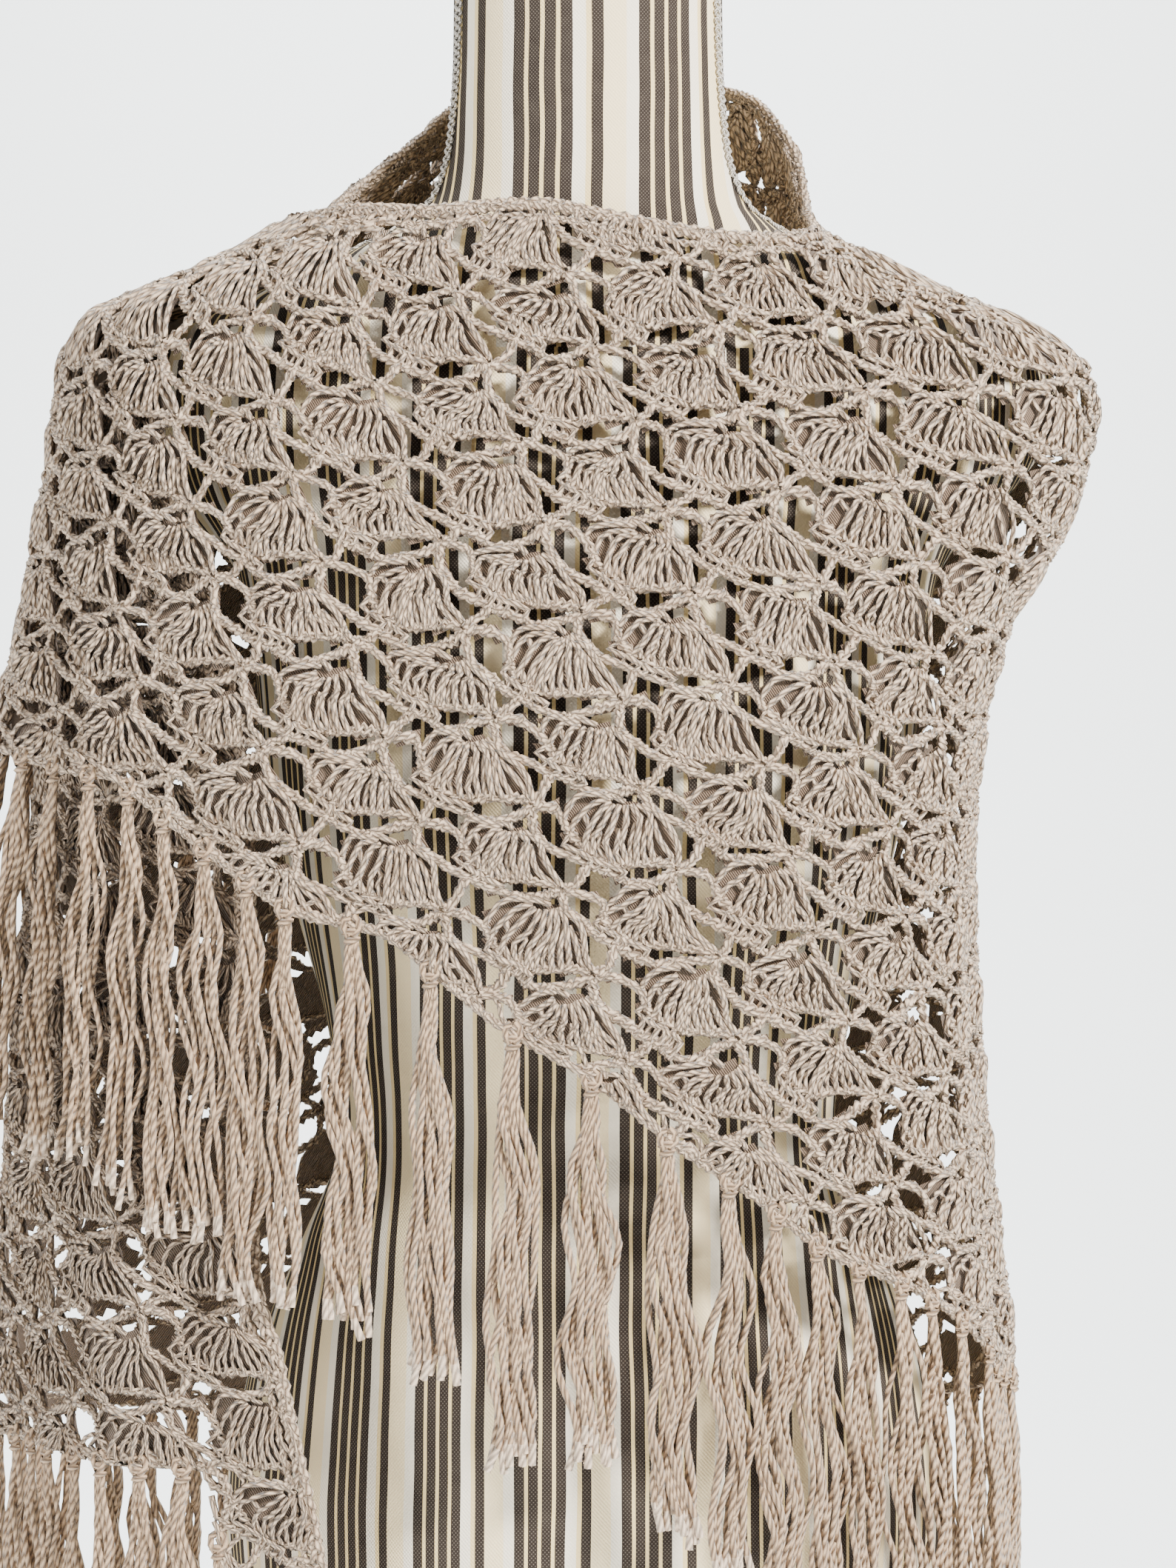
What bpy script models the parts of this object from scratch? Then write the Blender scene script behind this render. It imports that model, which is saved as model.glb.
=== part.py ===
import bpy
import numpy as np

# The shawl and its dress form, in metres. +Z is up and the front faces -Y.
# The frame's origin is the centre of the underside of the round base.

# Dress form: closed slices of the torso and neck.
# Columns: height, half width, depth in front, depth behind.
FORM_SLICES = (
    (0.372, 0.122, 0.078, 0.092),
    (0.380, 0.146, 0.096, 0.111),
    (0.400, 0.159, 0.107, 0.123),
    (0.440, 0.163, 0.110, 0.126),
    (0.500, 0.153, 0.105, 0.116),
    (0.560, 0.129, 0.095, 0.099),
    (0.610, 0.111, 0.088, 0.088),
    (0.660, 0.118, 0.098, 0.095),
    (0.700, 0.129, 0.112, 0.108),
    (0.740, 0.139, 0.125, 0.118),
    (0.780, 0.147, 0.133, 0.124),
    (0.820, 0.150, 0.130, 0.127),
    (0.860, 0.158, 0.122, 0.125),
    (0.885, 0.180, 0.115, 0.121),
    (0.905, 0.198, 0.107, 0.116),
    (0.925, 0.210, 0.100, 0.112),
    (0.943, 0.212, 0.093, 0.107),
    (0.957, 0.201, 0.086, 0.101),
    (0.971, 0.180, 0.080, 0.096),
    (0.985, 0.150, 0.075, 0.091),
    (0.998, 0.121, 0.069, 0.086),
    (1.010, 0.093, 0.063, 0.079),
    (1.025, 0.072, 0.058, 0.071),
    (1.050, 0.064, 0.056, 0.062),
    (1.090, 0.061, 0.055, 0.057),
    (1.130, 0.0605, 0.055, 0.056),
)
FORM_SQUARENESS = 2.1
FORM_SIDES = 32
CAP_HEIGHT = 0.012
CAP_BULGE = 0.006
CAP_INSET = 0.002
POLE_RADIUS = 0.014
POLE_SIDES = 16
BASE_RADIUS = 0.165
BASE_EDGE = 0.014
BASE_TOP = 0.024
BASE_BOSS = 0.030
BASE_SIDES = 36
SEAM = 0.0004

# Cloth: level slices of the draped shawl, mid wall.
# Columns: height, half width on +X, half width on -X, depth in front, depth behind.
CLOTH_SLICES = (
    (0.180, 0.190, 0.268, 0.136, 0.146),
    (0.400, 0.190, 0.268, 0.137, 0.146),
    (0.500, 0.189, 0.266, 0.138, 0.141),
    (0.585, 0.179, 0.261, 0.138, 0.136),
    (0.660, 0.1735, 0.255, 0.139, 0.133),
    (0.730, 0.1715, 0.2485, 0.141, 0.134),
    (0.795, 0.1765, 0.243, 0.141, 0.135),
    (0.835, 0.1875, 0.238, 0.137, 0.135),
    (0.875, 0.2110, 0.234, 0.129, 0.132),
    (0.905, 0.2220, 0.230, 0.119, 0.127),
    (0.932, 0.2265, 0.2285, 0.108, 0.120),
    (0.948, 0.2240, 0.2275, 0.099, 0.113),
    (0.961, 0.2090, 0.2230, 0.092, 0.107),
    (0.973, 0.1860, 0.2040, 0.086, 0.102),
    (0.986, 0.1560, 0.1720, 0.080, 0.097),
    (0.998, 0.1290, 0.1470, 0.075, 0.092),
    (1.008, 0.1080, 0.1310, 0.071, 0.088),
    (1.020, 0.0980, 0.1190, 0.067, 0.084),
    (1.035, 0.0965, 0.1060, 0.065, 0.080),
    (1.050, 0.0950, 0.0900, 0.064, 0.077),
    (1.067, 0.0880, 0.0770, 0.064, 0.074),
    (1.100, 0.0740, 0.0700, 0.063, 0.071),
)
CLOTH_SQUARENESS = 2.2
HALF_RIGHT = 0.50
HALF_LEFT = 0.64
FULL_TURN = HALF_RIGHT + HALF_LEFT
EASE_LIMIT = 0.6
SLICE_STEP = 0.005
ARC_STEPS = 160

# Folds: soft valleys and ridges that run down the cloth.
# Columns: place round the body, half width, depth outward, height where it starts.
FOLDS = (
    (-0.245, 0.030, -0.007, 0.960),
    (-0.345, 0.040, 0.006, 0.930),
    (0.215, 0.030, -0.005, 0.900),
    (0.275, 0.030, 0.006, 0.860),
    (0.345, 0.035, -0.007, 0.860),
    (0.415, 0.035, 0.008, 0.840),
    (0.490, 0.035, -0.007, 0.840),
    (0.570, 0.040, 0.008, 0.840),
    (0.655, 0.040, -0.008, 0.850),
    (0.740, 0.040, 0.007, 0.860),
    (0.875, 0.035, -0.007, 0.820),
    (0.945, 0.035, 0.006, 0.780),
)
FOLD_RAMP = 0.30

# Lattice of the lace: one shell fan for each repeat.
FAN_ORIGIN = (0.018, 0.871)
ACROSS = (0.0470, 0.0076)
DOWN = (0.0131, -0.0349)
HALF_COLUMN = 0.5
SNAP = 0.3
WALL = 0.0024
CLOTH_SEAM = 0.0003
GAP_CENTRE = (0.30, 0.62)
GAP_HALF_COLUMN = 0.105
GAP_HALF_ROW = 0.150
GAP_TOP = 1.012

# Long straight selvage, tip to tip. Columns: place round the body, height.
SELVAGE = (
    (-0.540, 0.665),
    (-0.480, 0.800),
    (-0.420, 0.915),
    (-0.370, 0.975),
    (-0.320, 1.003),
    (-0.220, 1.006),
    (-0.140, 1.009),
    (-0.100, 1.012),
    (-0.030, 1.015),
    (0.000, 1.011),
    (0.030, 1.005),
    (0.060, 1.001),
    (0.090, 1.002),
    (0.120, 1.006),
    (0.160, 1.013),
    (0.200, 1.023),
    (0.250, 1.037),
    (0.300, 1.058),
    (0.350, 1.078),
    (0.420, 1.092),
    (0.500, 1.096),
    (0.580, 1.091),
    (0.660, 1.075),
    (0.740, 1.052),
    (0.820, 1.028),
    (0.870, 1.002),
    (0.910, 0.965),
    (0.940, 0.915),
    (0.965, 0.860),
    (0.992, 0.790),
    (1.000, 0.700),
    (1.003, 0.565),
    (1.012, 0.534),
    (1.019, 0.503),
    (1.026, 0.472),
    (1.033, 0.436),
    (1.043, 0.370),
)

# Fringed edge, from the same first tip to the same last tip.
FRINGED_EDGE = (
    (-0.540, 0.665),
    (-0.460, 0.733),
    (-0.400, 0.768),
    (-0.320, 0.785),
    (-0.280, 0.779),
    (-0.235, 0.770),
    (-0.200, 0.766),
    (-0.170, 0.745),
    (-0.122, 0.713),
    (-0.082, 0.702),
    (-0.038, 0.667),
    (0.000, 0.645),
    (0.038, 0.615),
    (0.070, 0.594),
    (0.100, 0.571),
    (0.145, 0.551),
    (0.175, 0.532),
    (0.205, 0.510),
    (0.250, 0.497),
    (0.320, 0.475),
    (0.400, 0.448),
    (0.500, 0.430),
    (0.580, 0.437),
    (0.660, 0.455),
    (0.740, 0.468),
    (0.820, 0.475),
    (0.880, 0.481),
    (0.982, 0.481),
    (0.988, 0.450),
    (0.997, 0.420),
    (1.013, 0.392),
    (1.043, 0.370),
)

# Over layer: lift off the layer beneath and flare at its free edge.
LIFT = 0.0085
LIFT_FROM = -0.080
LIFT_FULL = -0.135
FLARE = 0.012
FLARE_FROM = -0.150
FLARE_FULL = -0.300
FLARE_TOP = 1.000
FLARE_HEIGHT = 0.220

# Stretches of cloth. Columns: name, first column, last column, gap rule.
# The gap rule is the share of repeats that get their gap, as one in how many.
STRETCHES = (
    ("shawl_over_end", -12.5, -5.5, 0),
    ("shawl_front_stretch", -5.5, 5.0, 1),
    ("shawl_back_stretch", 5.0, 13.5, 1),
    ("shawl_under_end", 13.5, 24.0, 1),
)

# Fringe: a narrow header with tassels of two strands.
# Columns: name, first place, last place, tassels, layer.
FRINGES = (
    ("fringe_over_end", -0.500, -0.228, 13, 1),
    ("fringe_front", -0.222, 0.345, 31, 1),
    ("fringe_back", 0.351, 0.820, 24, 0),
    ("fringe_under_end", 0.826, 1.030, 12, 0),
)
HEADER_DROP = 0.0007
HEADER_HEIGHT = 0.0040
HEADER_WALL = 0.0024
TASSEL_LENGTH = 0.165
STRAND_WIDTH = 0.0042
STRAND_SPACE = 0.0034
STRAND_WALL = 0.0030
# Columns: share of the length, sideways sway, width scale.
STRAND_STATIONS = (
    (0.45, 0.0025, 1.15),
    (1.00, -0.0020, 0.95),
)

COTTON = (0.62, 0.53, 0.44, 1.0)
TICKING = (0.80, 0.76, 0.66, 1.0)
WOOD = (0.35, 0.22, 0.13, 1.0)


def clear_scene():
    for item in list(bpy.data.objects):
        bpy.data.objects.remove(item, do_unlink=True)


def material(name, colour, roughness):
    made = bpy.data.materials.new(name)
    made.use_nodes = True
    shader = made.node_tree.nodes["Principled BSDF"]
    shader.inputs["Base Color"].default_value = colour
    shader.inputs["Roughness"].default_value = roughness
    return made


def add_node(name, points, faces, made):
    mesh = bpy.data.meshes.new(name)
    mesh.from_pydata([tuple(map(float, p)) for p in points], [], faces)
    mesh.validate()
    mesh.materials.append(made)
    node = bpy.data.objects.new(name, mesh)
    bpy.context.scene.collection.objects.link(node)
    return node


def rounded(angle, half_width, front, behind, squareness):
    """Point of a rounded slice: angle 0 is the front, a quarter turn is the side."""
    power = 2.0 / squareness
    across = half_width * np.abs(np.sin(angle)) ** power
    depth = np.where(np.cos(angle) >= 0.0, -front, behind)
    return across, depth * np.abs(np.cos(angle)) ** power


def smooth(value):
    value = np.clip(value, 0.0, 1.0)
    return value * value * (3.0 - 2.0 * value)


def eased_columns(table, step):
    """Table rows resampled at even heights with smooth curves between rows."""
    rows = np.array(table)
    heights = rows[:, 0]
    wanted = np.arange(heights[0], heights[-1] + step / 2.0, step)
    slopes = np.gradient(rows[:, 1:], heights, axis=0)
    for k in range(1, len(rows) - 1):
        before = (rows[k, 1:] - rows[k - 1, 1:]) / (heights[k] - heights[k - 1])
        after = (rows[k + 1, 1:] - rows[k, 1:]) / (heights[k + 1] - heights[k])
        same = before * after > 0.0
        mean = 2.0 * before * after / np.where(same, before + after, 1.0)
        slopes[k] = np.where(same, mean, 0.0)
    place = np.clip(np.searchsorted(heights, wanted, side="right") - 1, 0, len(rows) - 2)
    span = (heights[place + 1] - heights[place])[:, None]
    t = ((wanted - heights[place])[:, None]) / span
    low, high = rows[place, 1:], rows[place + 1, 1:]
    curve = (
        (2 * t**3 - 3 * t**2 + 1) * low
        + (t**3 - 2 * t**2 + t) * span * slopes[place]
        + (-2 * t**3 + 3 * t**2) * high
        + (t**3 - t**2) * span * slopes[place + 1]
    )
    return wanted, curve


def half_slices(widths, fronts, behinds, reference):
    """Grid of half slices, sampled evenly in the cloth's own length."""
    angles = np.linspace(0.0, np.pi, 4 * ARC_STEPS + 1)
    shares = np.linspace(0.0, 1.0, ARC_STEPS + 1)
    grid = np.zeros((len(widths), ARC_STEPS + 1, 2))
    for k in range(len(widths)):
        x, y = rounded(angles, widths[k], fronts[k], behinds[k], CLOTH_SQUARENESS)
        length = np.concatenate([[0.0], np.cumsum(np.hypot(np.diff(x), np.diff(y)))])
        ease = min(reference / length[-1] - 1.0, EASE_LIMIT)
        wanted = shares + ease * np.sin(2.0 * np.pi * shares) / (2.0 * np.pi)
        grid[k, :, 0] = np.interp(wanted * length[-1], length, x)
        grid[k, :, 1] = np.interp(wanted * length[-1], length, y)
    return grid


class Drape:
    """The draped cloth as a map from place round the body and height to space."""

    def __init__(self):
        self.heights, columns = eased_columns(CLOTH_SLICES, SLICE_STEP)
        right, left, front, behind = columns.T
        self.right = half_slices(right, front, behind, HALF_RIGHT)
        self.left = half_slices(left, front, behind, HALF_LEFT)

    def base_point(self, place, height):
        place = np.mod(np.asarray(place, dtype=float), FULL_TURN)
        height = np.asarray(height, dtype=float)
        on_right = place <= HALF_RIGHT
        share = np.where(on_right, place / HALF_RIGHT, (FULL_TURN - place) / HALF_LEFT)
        k = np.clip((height - self.heights[0]) / SLICE_STEP, 0.0, len(self.heights) - 1.001)
        j = np.clip(share * ARC_STEPS, 0.0, ARC_STEPS - 0.001)
        k0, j0 = k.astype(int), j.astype(int)
        kf, jf = (k - k0)[..., None], (j - j0)[..., None]
        result = np.zeros(place.shape + (2,))
        for side, grid, sign in ((on_right, self.right, 1.0), (~on_right, self.left, -1.0)):
            low = grid[k0, j0] * (1 - jf) + grid[k0, j0 + 1] * jf
            high = grid[k0 + 1, j0] * (1 - jf) + grid[k0 + 1, j0 + 1] * jf
            value = (low * (1 - kf) + high * kf) * np.array([sign, 1.0])
            result[side] = value[side]
        return np.concatenate([result, height[..., None]], axis=-1)

    def normal(self, place, height):
        step = 0.004
        along = self.base_point(place + step, height) - self.base_point(place - step, height)
        up = self.base_point(place, height + step) - self.base_point(place, height - step)
        across = np.cross(along, up)
        return across / np.linalg.norm(across, axis=-1, keepdims=True)

    def lift(self, place, height):
        """How far the cloth stands off the plain drape: folds, then the over layer."""
        total = np.zeros(np.shape(place))
        for centre, half, depth, top in FOLDS:
            bump = np.clip(1.0 - ((place - centre) / half) ** 2, 0.0, 1.0) ** 2
            total = total + depth * bump * smooth((top - height) / FOLD_RAMP)
        over = smooth((LIFT_FROM - place) / (LIFT_FROM - LIFT_FULL))
        flare = smooth((FLARE_FROM - place) / (FLARE_FROM - FLARE_FULL))
        low = np.clip((FLARE_TOP - height) / FLARE_HEIGHT, 0.0, 1.2) ** 2
        return total + LIFT * over + FLARE * flare * low

    def point(self, place, height, offset=0.0, shift=0.0):
        """Point of the cloth; shift slides it sideways without turning its normal."""
        place = np.asarray(place, dtype=float)
        height = np.asarray(height, dtype=float)
        out = self.lift(place, height) + offset
        base = self.base_point(place + shift, height)
        return base + self.normal(place, height) * out[..., None]


def lattice_to_cloth(column, row):
    place = FAN_ORIGIN[0] + column * ACROSS[0] + row * DOWN[0]
    height = FAN_ORIGIN[1] + column * ACROSS[1] + row * DOWN[1]
    return place, height


def cloth_to_lattice(place, height):
    x, z = place - FAN_ORIGIN[0], height - FAN_ORIGIN[1]
    whole = ACROSS[0] * DOWN[1] - ACROSS[1] * DOWN[0]
    return (x * DOWN[1] - z * DOWN[0]) / whole, (ACROSS[0] * z - ACROSS[1] * x) / whole


def outline_polygon():
    top = [cloth_to_lattice(*row) for row in SELVAGE]
    bottom = [cloth_to_lattice(*row) for row in FRINGED_EDGE]
    return np.array(top + bottom[-2:0:-1])


def column_span(polygon, column):
    """First and last row where a lattice column lies inside the cloth's outline."""
    crossings = []
    following = np.roll(polygon, -1, axis=0)
    for (c0, r0), (c1, r1) in zip(polygon, following):
        if (c0 - column) * (c1 - column) <= 0.0 and c0 != c1:
            crossings.append(r0 + (column - c0) / (c1 - c0) * (r1 - r0))
    if len(crossings) < 2 or max(crossings) - min(crossings) < SNAP:
        return None
    return min(crossings), max(crossings)


def column_rows(span):
    first, last = span
    inner = np.arange(np.ceil(first), np.floor(last) + 1.0)
    inner = [row for row in inner if first + SNAP < row < last - SNAP]
    return [first] + inner + [last]


def lace_faces(first_column, last_column, gap_rule):
    """Flat mesh of one stretch in lattice units, with one gap cut in each repeat."""
    polygon = outline_polygon()
    points, chains = [], []
    column = first_column
    while column <= last_column + 1e-9:
        span = column_span(polygon, column)
        if span is not None:
            chain = []
            for row in column_rows(span):
                chain.append((row, len(points)))
                points.append((column, row))
            chains.append((column, chain))
        column += HALF_COLUMN
    faces, gaps = [], 0
    for (column, left), (_, right) in zip(chains[:-1], chains[1:]):
        whole_column = abs(column - round(column)) < 1e-6
        i = j = 0
        while i < len(left) - 1 or j < len(right) - 1:
            square = (
                i < len(left) - 1
                and j < len(right) - 1
                and abs(left[i][0] - right[j][0]) < 1e-6
                and abs(left[i + 1][0] - right[j + 1][0]) < 1e-6
                and abs(left[i + 1][0] - left[i][0] - 1.0) < 1e-6
            )
            if square:
                a, b = left[i][1], left[i + 1][1]
                c, d = right[j + 1][1], right[j][1]
                centre_column = column + GAP_CENTRE[0]
                centre_row = left[i][0] + GAP_CENTRE[1]
                low_enough = lattice_to_cloth(centre_column, centre_row)[1] < GAP_TOP
                if whole_column and gap_rule and low_enough:
                    gaps += 1
                    n = len(points)
                    points.append((centre_column - GAP_HALF_COLUMN, centre_row))
                    points.append((centre_column, centre_row + GAP_HALF_ROW))
                    points.append((centre_column + GAP_HALF_COLUMN, centre_row))
                    points.append((centre_column, centre_row - GAP_HALF_ROW))
                    faces += [(a, b, n), (b, n + 1, n), (b, c, n + 1), (c, n + 2, n + 1)]
                    faces += [(c, d, n + 2), (d, n + 3, n + 2), (d, a, n + 3), (a, n, n + 3)]
                else:
                    faces += [(a, b, c), (a, c, d)]
                i, j = i + 1, j + 1
                continue
            step_left = i < len(left) - 1 and (
                j == len(right) - 1 or left[i + 1][0] <= right[j + 1][0]
            )
            if step_left:
                faces.append((left[i][1], left[i + 1][1], right[j][1]))
                i += 1
            else:
                faces.append((left[i][1], right[j + 1][1], right[j][1]))
                j += 1
    return np.array(points), faces, gaps


def shell(drape, place, height, shift, faces, wall):
    """Closed wall on both sides of a flat mesh."""
    outer = drape.point(place, height, wall / 2.0, shift)
    inner = drape.point(place, height, -wall / 2.0, shift)
    count = len(place)
    sides = {}
    for face in faces:
        for a, b in zip(face, face[1:] + face[:1]):
            sides[(a, b)] = sides.get((a, b), 0) + 1
    solid = [tuple(face) for face in faces]
    solid += [tuple(count + v for v in reversed(face)) for face in faces]
    for a, b in sides:
        if (b, a) not in sides:
            solid += [(b, a, count + a), (b, count + a, count + b)]
    return np.concatenate([outer, inner]), solid


def seam_shift(points, first_column, last_column):
    """Sideways step that keeps half a seam free along both lattice borders."""
    shift = np.zeros(len(points))
    shift[np.abs(points[:, 0] - first_column) < 1e-6] = CLOTH_SEAM
    shift[np.abs(points[:, 0] - last_column) < 1e-6] = -CLOTH_SEAM
    return shift


def build_cloth(drape, made):
    total = 0
    for name, first_column, last_column, gap_rule in STRETCHES:
        points, faces, gaps = lace_faces(first_column, last_column, gap_rule)
        shift = seam_shift(points, first_column, last_column)
        place, height = lattice_to_cloth(points[:, 0], points[:, 1])
        solid_points, solid_faces = shell(drape, place, height, shift, faces, WALL)
        add_node(name, solid_points, solid_faces, made)
        total += gaps
        print(name, "gaps", gaps, "triangles", len(solid_faces))
    print("gaps in all", total)


def cloth_edge():
    """Corners of the cloth's own fringed edge, where its lattice columns end."""
    polygon = outline_polygon()
    table = np.array(FRINGED_EDGE)
    corners = []
    for column in np.arange(STRETCHES[0][1], STRETCHES[-1][2], HALF_COLUMN):
        span = column_span(polygon, column)
        if span is not None:
            place, height = lattice_to_cloth(column, span[1])
            if abs(height - np.interp(place, table[:, 0], table[:, 1])) < 1e-4:
                corners.append((place, height))
    return np.array(corners)


def build_fringe(drape, made):
    edge = cloth_edge()
    edge_height = lambda place: np.interp(place, edge[:, 0], edge[:, 1])
    for name, first, last, tassels, layer in FRINGES:
        pitch = (last - first) / tassels
        margin = (pitch - 2 * STRAND_WIDTH - STRAND_SPACE) / 2.0
        cuts, strand_cells = [], []
        for k in range(tassels):
            start = first + k * pitch + margin
            strand_cells.append(len(cuts) + 1)
            cuts += [start, start + STRAND_WIDTH]
            strand_cells.append(len(cuts) + 1)
            start += STRAND_WIDTH + STRAND_SPACE
            cuts += [start, start + STRAND_WIDTH]
        cuts = np.array([first] + cuts + [last])
        top = edge_height(cuts) - HEADER_DROP
        low = top - HEADER_HEIGHT
        half = HEADER_WALL / 2.0
        rails = [
            drape.point(cuts, top, half),
            drape.point(cuts, top, -half),
            drape.point(cuts, low, -half),
            drape.point(cuts, low, half),
        ]
        points = [p for rail in rails for p in rail]
        count = len(cuts)
        rail = lambda r, k: r * count + k
        faces = []
        for k in range(count - 1):
            for r in range(4):
                if r == 2 and k in strand_cells:
                    continue
                s = (r + 1) % 4
                faces += [
                    (rail(r, k), rail(r, k + 1), rail(s, k + 1)),
                    (rail(r, k), rail(s, k + 1), rail(s, k)),
                ]
        faces += [(rail(0, 0), rail(1, 0), rail(2, 0)), (rail(0, 0), rail(2, 0), rail(3, 0))]
        end = count - 1
        faces += [
            (rail(0, end), rail(2, end), rail(1, end)),
            (rail(0, end), rail(3, end), rail(2, end)),
        ]
        for k in strand_cells:
            ring = [rail(3, k), rail(3, k + 1), rail(2, k + 1), rail(2, k)]
            middle = (cuts[k] + cuts[k + 1]) / 2.0
            start = edge_height(middle) - HEADER_DROP - HEADER_HEIGHT
            for share, sway, scale in STRAND_STATIONS:
                centre = middle + sway
                height = start - share * TASSEL_LENGTH
                left = centre - scale * STRAND_WIDTH / 2.0
                right = centre + scale * STRAND_WIDTH / 2.0
                thick = STRAND_WALL / 2.0
                n = len(points)
                corners = ((left, thick), (right, thick), (right, -thick), (left, -thick))
                for place, out in corners:
                    points.append(drape.point(np.array([place]), np.array([height]), out)[0])
                new = [n, n + 1, n + 2, n + 3]
                for a in range(4):
                    b = (a + 1) % 4
                    faces += [(ring[a], new[a], new[b]), (ring[a], new[b], ring[b])]
                ring = new
            faces += [(ring[0], ring[3], ring[2]), (ring[0], ring[2], ring[1])]
        add_node(name, points, faces, made)
        print(name, "strands", len(strand_cells), "triangles", len(faces))


def closed_loft(rings):
    """Closed solid through rings of equal length, with flat fans at both ends."""
    sides = len(rings[0])
    points = [p for ring in rings for p in ring]
    faces = []
    for k in range(len(rings) - 1):
        for s in range(sides):
            a, b = k * sides + s, k * sides + (s + 1) % sides
            faces += [(a, b, b + sides), (a, b + sides, a + sides)]
    for k, turn in ((0, True), (len(rings) - 1, False)):
        hub = len(points)
        points.append(np.mean(rings[k], axis=0))
        for s in range(sides):
            a, b = k * sides + s, k * sides + (s + 1) % sides
            faces.append((b, a, hub) if turn else (a, b, hub))
    return points, faces


def form_ring(height, half_width, front, behind, sides):
    turns = np.linspace(0.0, 2.0 * np.pi, sides, endpoint=False)
    across, depth = rounded(turns, half_width, front, behind, FORM_SQUARENESS)
    across = across * np.sign(np.sin(turns) + 1e-12)
    return np.stack([across, depth, np.full(sides, height)], axis=1)


def round_ring(height, radius, sides):
    turns = np.linspace(0.0, 2.0 * np.pi, sides, endpoint=False)
    return np.stack(
        [radius * np.sin(turns), -radius * np.cos(turns), np.full(sides, height)], axis=1
    )


def build_form(ticking, wood):
    rings = [form_ring(*row, FORM_SIDES) for row in FORM_SLICES]
    add_node("form_body", *closed_loft(rings), ticking)
    top, half_width, front, behind = FORM_SLICES[-1]
    cap = []
    for height, inset in ((SEAM, CAP_INSET), (CAP_HEIGHT, CAP_INSET), (CAP_HEIGHT + CAP_BULGE, 0.02)):
        cap.append(
            form_ring(top + height, half_width - inset, front - inset, behind - inset, FORM_SIDES)
        )
    add_node("form_neck_cap", *closed_loft(cap), wood)
    bottom = FORM_SLICES[0][0]
    pole = [
        round_ring(BASE_BOSS + SEAM, POLE_RADIUS, POLE_SIDES),
        round_ring(bottom - SEAM, POLE_RADIUS, POLE_SIDES),
    ]
    add_node("form_pole", *closed_loft(pole), wood)
    base = [
        round_ring(0.0, BASE_RADIUS - 0.002, BASE_SIDES),
        round_ring(0.003, BASE_RADIUS, BASE_SIDES),
        round_ring(BASE_EDGE, BASE_RADIUS, BASE_SIDES),
        round_ring(BASE_TOP, BASE_RADIUS - 0.020, BASE_SIDES),
        round_ring(BASE_TOP + 0.001, 0.032, BASE_SIDES),
        round_ring(BASE_BOSS, 0.026, BASE_SIDES),
    ]
    add_node("form_base", *closed_loft(base), wood)


def main():
    clear_scene()
    cotton = material("cotton_yarn", COTTON, 0.85)
    ticking = material("ticking_linen", TICKING, 0.9)
    wood = material("dark_wood", WOOD, 0.45)
    drape = Drape()
    build_form(ticking, wood)
    build_cloth(drape, cotton)
    build_fringe(drape, cotton)


main()
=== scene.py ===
# %% [markdown]
# # A crocheted lace shawl on a dress form
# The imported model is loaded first. It gives plain walls with the right size and
# place, and everything below is built on top of them in the same metres.

# %% Load the frame
import math

import bpy
import mathutils
import numpy as np
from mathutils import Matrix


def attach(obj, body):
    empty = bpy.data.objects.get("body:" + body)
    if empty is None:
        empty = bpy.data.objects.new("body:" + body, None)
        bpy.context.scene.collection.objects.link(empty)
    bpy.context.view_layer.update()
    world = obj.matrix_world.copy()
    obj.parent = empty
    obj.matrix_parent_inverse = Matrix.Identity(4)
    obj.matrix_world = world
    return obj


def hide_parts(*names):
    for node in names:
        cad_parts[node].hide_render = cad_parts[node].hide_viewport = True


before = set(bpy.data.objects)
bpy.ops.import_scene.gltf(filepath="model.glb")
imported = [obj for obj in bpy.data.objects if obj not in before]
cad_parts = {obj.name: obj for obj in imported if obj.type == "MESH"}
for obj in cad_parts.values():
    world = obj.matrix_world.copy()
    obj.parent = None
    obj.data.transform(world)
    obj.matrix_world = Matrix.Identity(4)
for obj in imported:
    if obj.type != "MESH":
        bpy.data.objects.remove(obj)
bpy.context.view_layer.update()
BODY = "root"

# %% [markdown]
# ## One map for the whole drape
# Every stitch could be placed by hand on the body, or the cloth could be
# simulated. A map is simpler and keeps its repeat even: it takes a place round
# the body, a height and a distance off the cloth, and gives a point in space.
# It starts from level outlines of the worn shawl.

# %% Slices of the worn cloth
# Columns: height, half width on +X, half width on -X, depth in front, depth behind.
CLOTH_SLICES = (
    (0.180, 0.190, 0.268, 0.136, 0.146),
    (0.400, 0.190, 0.268, 0.137, 0.146),
    (0.500, 0.189, 0.266, 0.138, 0.141),
    (0.585, 0.179, 0.261, 0.138, 0.136),
    (0.660, 0.1735, 0.255, 0.139, 0.133),
    (0.730, 0.1715, 0.2485, 0.141, 0.134),
    (0.795, 0.1765, 0.243, 0.141, 0.135),
    (0.835, 0.1875, 0.238, 0.137, 0.135),
    (0.875, 0.2110, 0.234, 0.129, 0.132),
    (0.905, 0.2220, 0.230, 0.119, 0.127),
    (0.932, 0.2265, 0.2285, 0.108, 0.120),
    (0.948, 0.2240, 0.2275, 0.099, 0.113),
    (0.961, 0.2090, 0.2230, 0.092, 0.107),
    (0.973, 0.1860, 0.2040, 0.086, 0.102),
    (0.986, 0.1560, 0.1720, 0.080, 0.097),
    (0.998, 0.1290, 0.1470, 0.075, 0.092),
    (1.008, 0.1080, 0.1310, 0.071, 0.088),
    (1.020, 0.0980, 0.1190, 0.067, 0.084),
    (1.035, 0.0965, 0.1060, 0.065, 0.080),
    (1.050, 0.0950, 0.0900, 0.064, 0.077),
    (1.067, 0.0880, 0.0770, 0.064, 0.074),
    (1.100, 0.0740, 0.0700, 0.063, 0.071),
)
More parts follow.
